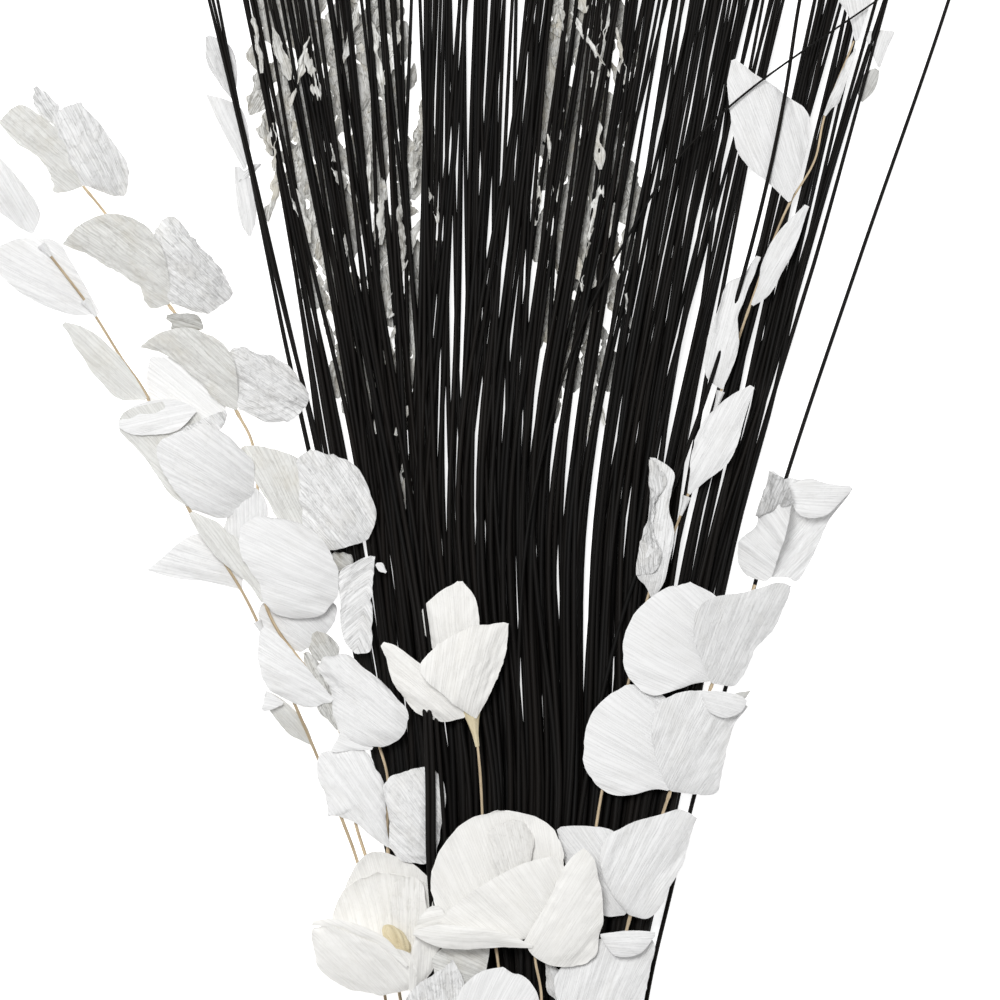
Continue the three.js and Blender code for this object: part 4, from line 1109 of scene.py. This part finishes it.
LOW_LEAVES = Spray(
    "low_leaves",
    twigs=(),
    leaves=(
        small_leaf("low_leaf_crinkled", (-32, -440, 47), (-38, -367, 46), crinkle=0.9, rise=3, tip_half=0.6,
                   left=((-62, -432, 40), (-78, -412, 38), (-72, -392, 41), (-58, -382, 44)),
                   right=((-24, -415, 50), (-28, -386, 48))),
        small_leaf("low_leaf_round", (-28, -441, 51), (4, -373, 52), crinkle=0.1, rise=3,
                   left=((-36, -415, 52), (-31, -390, 53), (-15, -376, 53)),
                   right=((0, -446, 53), (24, -430, 53), (32, -402, 53), (22, -382, 53))),
        small_leaf("low_leaf_grey", (-12, -382, 44), (-54, -366, 42), rise=1, crinkle=0.4, tone=0.93,
                   left=((-30, -394, 42), (-48, -388, 42)), right=((-10, -352, 44), (-32, -347, 44))),
    ),
    shaded_leaves=("low_leaf_grey",),
)

SPRAYS = (OUTER_SPRAY, INNER_SPRAY, SHORT_SPRAY, BACK_SPRAY, FRONT_SPRAY,
          BUD_FLOWER, OPEN_FLOWER, SIDE_FLOWER, LOW_LEAVES)


# ---------------------------------------------------------------- black stems


GOLDEN_SHARE = 0.618034  # steps by this share of a whole spread evenly and never repeat


@dataclass(frozen=True)
class Tuft:
    """Stems that stay together: their shares of the fan's width at the tips and halfway, and how many.

    The count is thinned by StemHeap.thinning.
    """

    top: float
    middle: float
    count: int


TUFTS = (
    Tuft(0.015, 0.02, 4), Tuft(0.065, 0.065, 12), Tuft(0.11, 0.12, 10), Tuft(0.145, 0.15, 9),
    Tuft(0.20, 0.185, 10), Tuft(0.24, 0.22, 8), Tuft(0.275, 0.248, 10), Tuft(0.325, 0.285, 11),
    Tuft(0.36, 0.32, 13), Tuft(0.39, 0.36, 10), Tuft(0.425, 0.39, 12), Tuft(0.465, 0.42, 13),
    Tuft(0.495, 0.45, 12), Tuft(0.54, 0.49, 11), Tuft(0.585, 0.53, 15), Tuft(0.62, 0.585, 12),
    Tuft(0.655, 0.61, 10), Tuft(0.69, 0.655, 10), Tuft(0.72, 0.70, 10), Tuft(0.745, 0.73, 9),
    Tuft(0.77, 0.755, 9), Tuft(0.79, 0.785, 8), Tuft(0.83, 0.815, 9), Tuft(0.89, 0.895, 8),
    Tuft(0.915, 0.925, 12), Tuft(0.94, 0.955, 9), Tuft(0.985, 0.98, 7),
)


@dataclass(frozen=True)
class StemHeap:
    """The fan of black stems: a deep tight bundle at the cut ends that spreads and thins to the tips."""

    cut_radius: float = 2.9
    tip_radius: float = 1.1
    tuft_spread: float = 0.012
    rank_spread: float = 0.02
    side_share: float = 0.004
    thinning: float = 0.78
    middle_y: float = 130.0
    settle: float = 1.8
    fan_y: float = 400.0
    short_by: tuple[float, float] = (1.0, 75.0)
    uneven_cut: float = 7.0
    sway: tuple[float, float] = (0.2, 1.1)
    sway_turns: tuple[float, float] = (1.5, 3.5)
    shelf_height: float = 5.6
    shelf_slope: float = 0.4
    steps: int = 44
    sides: int = 8

    def shares(self, random: np.random.Generator) -> Array:
        """Each stem's share of the fan's width at the cut, at middle_y and at fan_y, left to right."""
        counts = [round(tuft.count * self.thinning) for tuft in TUFTS]
        top = np.repeat([tuft.top for tuft in TUFTS], counts)
        middle = np.repeat([tuft.middle for tuft in TUFTS], counts)
        top = top + random.normal(0.0, self.tuft_spread, len(top))
        middle = middle + random.normal(0.0, self.tuft_spread * 1.2, len(top))
        rank = np.argsort(np.argsort(middle + random.normal(0.0, self.rank_spread, len(top))))
        cut = (rank + 0.5) / len(top)
        order = np.argsort(middle)
        return np.clip(np.stack([cut, middle, top], axis=1)[order], self.side_share, 1 - self.side_share)

    def lines(self, random: np.random.Generator) -> Array:
        """Every stem's centreline.

        Above middle_y a stem is straight. Below it, the stem eases over to an even share of the
        fan's width, x = straight (1 - w) + even w. z is a fixed share of the heap's height, which
        rises slowly from one stem deep at the left edge, where a twig and leaves lie on it.
        """
        shares = self.shares(random)
        count = len(shares)
        clump = np.arange(count) * len(CLUMP_TIPS) // count
        tips = np.array(CLUMP_TIPS)[clump] - random.uniform(*self.short_by, count)
        t = np.linspace(0.0, 1.0, self.steps)[None, :]
        uneven = random.uniform(0.0, self.uneven_cut, count)[:, None]
        y = CUT_Y + uneven * (1 - t) + (tips[:, None] - CUT_Y) * t
        radius = self.radii(count)
        left, right = smooth_values(LEFT_EDGE, y) + radius, smooth_values(RIGHT_EDGE, y) - radius
        middle_x, top_x = (
            np.interp(level, *np.asarray(LEFT_EDGE, float).T) * (1 - shares[:, index, None])
            + np.interp(level, *np.asarray(RIGHT_EDGE, float).T) * shares[:, index, None]
            for index, level in ((1, self.middle_y), (2, self.fan_y))
        )
        straight = middle_x + (top_x - middle_x) * (y - self.middle_y) / (self.fan_y - self.middle_y)
        even = left + (right - left) * shares[:, :1]
        settled = ease(self.settle * (self.middle_y - y) / (self.middle_y - CUT_Y))
        x = np.clip(straight * (1 - settled) + even * settled, left, right)
        across = (x - left) / (right - left)
        sway = random.uniform(*self.sway, (count, 1))
        turns = random.uniform(*self.sway_turns, (count, 1))
        x = x + sway * np.sin(2 * np.pi * (turns * t + random.uniform(0, 1, (count, 1)))) * np.sin(np.pi * t)
        height = (np.arange(count) * GOLDEN_SHARE + random.uniform(0, 0.25, count))[:, None] % 1.0
        under, over = heap_height(y, across)
        over = np.minimum(over, under + self.shelf_height + self.shelf_slope * (x - left))
        z = under + radius + height * np.maximum(over - under - 2 * radius, 0.0)
        return np.stack([x, y, z], axis=-1)

    def radii(self, count: int) -> Array:
        """The stems' radii, which taper evenly to the tips and close in over the last step."""
        t = np.linspace(0.0, 1.0, self.steps)
        even = self.cut_radius + (self.tip_radius - self.cut_radius) * t
        even[-1] *= 0.5
        return np.broadcast_to(even, (count, self.steps))

    def build(self, finishes: Finishes) -> None:
        """Makes one piece of stems for each clump of the frame."""
        random = random_for("stem_heap")
        lines = self.lines(random)
        seeds = random.uniform(0.0, 1.0, len(lines))
        clumps = np.array_split(np.arange(len(lines)), len(CLUMP_TIPS))
        for number, members in enumerate(clumps, start=1):
            radii = self.radii(len(members))[..., None]
            shell = tube_shell(lines[members], radii, self.sides)
            shell.marked(seed=np.repeat(seeds[members], self.steps * self.sides))
            name = f"stem_clump_{number}"
            make_piece(f"{name}_stems", [shell], finishes.stem, (name,))


@dataclass(frozen=True)
class LooseStem:
    """One black stem that has come away from the bundle, along a line of its own."""

    name: str
    path: tuple[Point, ...]
    low_radius: float = 1.9
    high_radius: float = 1.3
    in_frame: bool = False
    steps: int = 160
    sides: int = 10

    def build(self, finishes: Finishes) -> None:
        """Makes the stem, whose path runs from its tip to its thicker cut end."""
        line = smooth_line(self.path, self.steps)
        radii = np.linspace(self.high_radius, self.low_radius, len(line))
        shell = tube_shell(line[None], radii[None, :, None], self.sides)
        shell.marked(seed=random_for(self.name).uniform())
        stands_for = (self.name,) if self.in_frame else ()
        make_piece(f"{self.name}_reed", [shell], finishes.stem, stands_for)


LOOSE_STEMS = (
    LooseStem("loose_stem_right",
              ((425, 615, 2.5), (360, 400, 2.5), (291, 200, 2.5), (230, 18, 2.5), (181, -152, 2.5),
               (156, -238, 2.5), (136, -320, 2.5), (121, -384, 2.5), (112, -440, 2.5), (97, -585, 2.5)),
              in_frame=True),
    LooseStem("loose_stem_across",
              ((330, 420, 22), (296, 396, 26), (191, 321, 33), (140, 270, 31), (107, 219, 29), (61, 128, 29),
               (26, 0, 31), (16, -96, 35), (15, -250, 41), (16, -400, 47.5), (0, -585, 57.5)),
              high_radius=0.7, in_frame=True),
    LooseStem("stem_over_leaf_left",
              ((-150, 420, 20), (-112, 150, 24), (-84, 0, 27), (-64, -120, 35), (-58, -212, 41),
               (-57, -285, 41), (-54, -330, 32), (-50, -400, 26), (-45, -585, 22)), 2.4, 1.7),
    LooseStem("stem_over_leaf_middle",
              ((-138, 420, 20), (-105, 150, 25), (-79, 0, 28), (-60.5, -120, 36), (-54, -212, 42),
               (-53, -285, 42), (-50, -330, 33), (-46, -400, 27), (-41, -585, 23)), 2.4, 1.7),
    LooseStem("stem_over_leaf_right",
              ((-126, 420, 20), (-96, 150, 25), (-72, 0, 28), (-56, -120, 35), (-48, -212, 38),
               (-43, -285, 39), (-40, -330, 34), (-36, -400, 28), (-32, -585, 24)), 1.8, 1.4),
    LooseStem("stem_over_top_leaf",
              ((266, 520, 12), (240, 400, 24), (228, 324, 31), (213, 251, 30), (186, 150, 32),
               (146, 30, 27), (102, -80, 26), (66, -240, 30), (52, -400, 34), (40, -585, 40)), 2.2, 1.4),
)


# ---------------------------------------------------------------- sprays under the stems


@dataclass(frozen=True)
class HiddenSpray:
    """A crushed leafy spray under the stems: many creased leaves between two edges, tips upwards."""

    name: str
    left: tuple[tuple[float, float], ...]
    right: tuple[tuple[float, float], ...]
    low: float
    high: float
    leaves: tuple[Leaf, ...] = ()
    row_gap: float = 19.0
    column_gap: float = 11.0
    floor_gap: float = 1.2
    deep: float = 4.2
    raised_share: float = 0.16
    raised_width: float = 0.45
    raised_z: float = 16.0
    heading_spread: float = 0.22
    lengths: tuple[float, float] = (26.0, 64.0)
    widths: tuple[float, float] = (7.0, 20.0)
    tones: tuple[float, ...] = (0.92, 1.03, 1.1, 1.16)
    shift: float = 9.0
    lowest: float = 0.3

    def crushed_leaf(self, number: int, x: float, y: float, random: np.random.Generator) -> Leaf:
        """A leaf about the point x, y with a heading, length, width and folds of its own."""
        heading = random.normal(0.0, self.heading_spread)
        ahead = np.array((np.sin(heading), np.cos(heading)))
        aside = np.array((-ahead[1], ahead[0]))
        raised = random.uniform() < self.raised_share
        length = random.uniform(*self.lengths)
        width = random.uniform(*self.widths) * (self.raised_width if raised else 1.0)
        level = self.raised_z if raised else self.floor_gap + random.uniform(0.0, self.deep)

        def place(forward: float, leftward: float) -> Point:
            """A point so many half lengths ahead of the middle and half widths to the left."""
            flat = np.array((x, y)) + ahead * forward * length / 2 + aside * leftward * width / 2
            return (*flat, level + random.uniform(-1.0, 1.8))

        lean = random.uniform(-0.5, 0.5, 4)
        return Leaf(
            f"{self.name}_{number}", place(-1, 0), place(1, 0), rise=random.uniform(-2, 2),
            left=(place(-0.6, 0.8 + lean[0]), place(-0.3, 0.6 + lean[2]), place(0.3, 1.0 + lean[1])),
            right=(place(-0.5, -1.0 - lean[2]), place(0.1, -0.5 - lean[1]), place(0.5, -0.9 - lean[3])),
            tone=random.choice(self.tones), crinkle=random.uniform(0.8, 1.4), wave=1.3,
            tip_half=0.5, ragged=9.0, rows=40, columns=14,
        )

    def build(self, finishes: Finishes) -> None:
        """Makes one piece of all the crushed leaves, and the few that stick out past the stems."""
        random = random_for(self.name)
        shells = []
        for y in np.arange(self.low, self.high, self.row_gap):
            left, right = (np.interp(y, *np.asarray(edge, float).T) for edge in (self.left, self.right))
            for x in np.arange(left, right, self.column_gap):
                shift = random.uniform(-self.shift, self.shift, 2)
                shells.append(self.crushed_leaf(len(shells), x + shift[0], y + shift[1], random).shell())
        for shell in shells:
            shell.points[:, 2] = np.maximum(shell.points[:, 2], self.lowest)
        # all the crushed leaves take the greyer shaded paper: painted shade where they lie under the stems
        material = finishes.papers[Paper.SHADED_LEAF]
        make_piece(f"{self.name}_leaves", shells, material, (self.name,))
        for leaf in self.leaves:
            material = finishes.papers[Paper.WHITE_LEAF]
            make_piece(f"{leaf.name}_sheet", [leaf.shell()], material)


HIDDEN_SPRAYS = (
    HiddenSpray(
        "hidden_spray_left",
        left=((-30, -66), (75, -112), (215, -164), (262, -176), (325, -190), (430, -190)),
        right=((-30, -60), (75, -62), (200, -56), (300, -62), (430, -96)), low=-10.0, high=425.0,
        leaves=(
            small_leaf("edge_leaf_crumpled", (-213, 254, 4), (-192, 270, 5), rise=1, crinkle=0.8,
                       tip_half=0.6, left=((-208, 262, 3), (-200, 270, 4)),
                       right=((-205, 258, 5), (-196, 264, 5))),
            small_leaf("edge_leaf_top", (-214, 322, 5), (-235, 373, 4), rise=1, crinkle=0.6, tone=0.92,
                       left=((-225, 334, 4), (-236, 352, 4)), right=((-211, 345, 5), (-216, 364, 5))),
            small_leaf("edge_leaf_middle", (-205, 266, 4), (-236, 326, 3), rise=1, tone=0.98, tip_half=0.6,
                       left=((-214, 280, 3), (-227, 305, 3)), right=((-201, 290, 5), (-209, 316, 5))),
            small_leaf("edge_leaf_low", (-201, 212, 4), (-211, 268, 4), rise=1, tone=0.99,
                       left=((-208, 222, 3), (-212, 245, 3)), right=((-196, 226, 5), (-198, 254, 5))),
        ),
    ),
    HiddenSpray(
        "hidden_spray_middle",
        left=((75, 46), (250, 36), (430, 44)), right=((75, 88), (250, 108), (430, 106)),
        low=85.0, high=425.0,
    ),
)


# ---------------------------------------------------------------- calyx and cone


@dataclass(frozen=True)
class TurnedPart:
    """A body turned about the line from its foot to its top: radii at shares of that line, with ribs."""

    name: str
    foot: Point
    top: Point
    profile: tuple[tuple[float, float], ...]
    ribs: int
    rib_depth: float
    twist: float
    stands_for: tuple[str, ...] = ()
    steps: int = 48
    sides: int = 40

    def build(self, finishes: Finishes) -> None:
        """Makes the body: r(t, a) = profile(t) (1 + rib_depth sin(ribs a + twist t))."""
        line = np.linspace(self.foot, self.top, self.steps)
        t = np.linspace(0.0, 1.0, self.steps)[:, None]
        angle = 2 * np.pi * np.arange(self.sides)[None, :] / self.sides
        rib = 1 + self.rib_depth * np.sin(self.ribs * angle + self.twist * t)
        radius = smooth_values(self.profile, t) * rib
        shell = tube_shell(line[None], radius[None], self.sides).marked(tone=1.0)
        make_piece(self.name, [shell], finishes.cone, self.stands_for)


TURNED_PARTS = (
    TurnedPart("bud_calyx", (-18, -197, 38), (-24, -163, 39),
               ((0, 1.6), (0.25, 2.4), (0.55, 4.4), (0.85, 7.2), (1, 8.2)), 5, 0.06, 1.0),
    TurnedPart("side_cone_scales", (-73, -362, 37), (-93, -340, 40),
               ((0, 2.5), (0.2, 6.2), (0.5, 7.4), (0.75, 6.2), (0.93, 3.4), (1, 0.6)), 7, 0.09, 16.0,
               ("side_cone",)),
)


# ---------------------------------------------------------------- studio


@dataclass(frozen=True)
class Studio:
    """A pale floor, soft light from above and all round, and a long lens that looks straight down."""

    view_width: float = 0.8
    camera_height: float = 6.0
    subject_height: float = 0.03
    sensor: float = 36.0
    farthest: float = 100.0
    floor_half: float = 12.0
    floor_drop: float = 0.0004
    floor_color: Color = (0.9, 0.9, 0.9)
    floor_glow: float = 0.75
    key_place: Point = (-0.6, 0.9, 3.6)
    key_size: float = 1.2
    key_watts: float = 93.0
    sky: float = 0.43

    def add_floor(self) -> None:
        """A flat square under the bunch."""
        mesh = bpy.data.meshes.new("floor")
        x, y = self.floor_half * np.array((-1, 1, 1, -1)), self.floor_half * np.array((-1, -1, 1, 1))
        mesh.from_pydata(np.stack([x, y, np.full(4, -self.floor_drop)], axis=1).tolist(), [], [(0, 1, 2, 3)])
        mesh.materials.append(FloorFinish("floor_paper", self.floor_color, self.floor_glow).build())
        floor = bpy.data.objects.new("floor", mesh)
        bpy.context.scene.collection.objects.link(floor)

    def add_lights(self) -> None:
        """One large soft lamp above the bunch and an even white sky."""
        lamp = bpy.data.lights.new("key", "AREA")
        lamp.energy = self.key_watts
        lamp.size = self.key_size
        key = bpy.data.objects.new("key", lamp)
        key.location = self.key_place
        key.rotation_euler = Vector(self.key_place).to_track_quat("Z", "Y").to_euler()
        bpy.context.scene.collection.objects.link(key)
        world = bpy.data.worlds.new("sky")
        world.use_nodes = True
        background = world.node_tree.nodes["Background"]
        background.inputs["Color"].default_value = (1.0, 1.0, 1.0, 1.0)
        background.inputs["Strength"].default_value = self.sky
        bpy.context.scene.world = world

    def add_camera(self) -> None:
        """A camera straight above the layout's zero, as wide as the view at the bunch."""
        data = bpy.data.cameras.new("camera")
        data.sensor_width = self.sensor
        data.lens = self.sensor * (self.camera_height - self.subject_height) / self.view_width
        data.clip_end = self.farthest
        camera = bpy.data.objects.new("camera", data)
        camera.location = (*ORIGIN[:2], self.camera_height)
        bpy.context.scene.collection.objects.link(camera)
        bpy.context.scene.camera = camera

    def build(self) -> None:
        """Makes the studio, with colours shown as they are lit."""
        self.add_floor()
        self.add_lights()
        self.add_camera()
        bpy.context.scene.view_settings.view_transform = "Standard"


def main() -> None:
    """Builds the bunch, one sub-assembly after another, and the studio round it."""
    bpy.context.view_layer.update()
    finishes = Finishes.build()
    StemHeap().build(finishes)
    for part in (*LOOSE_STEMS, *HIDDEN_SPRAYS, *SPRAYS, *TURNED_PARTS):
        part.build(finishes)
    Studio().build()


if __name__ == "__main__":
    main()
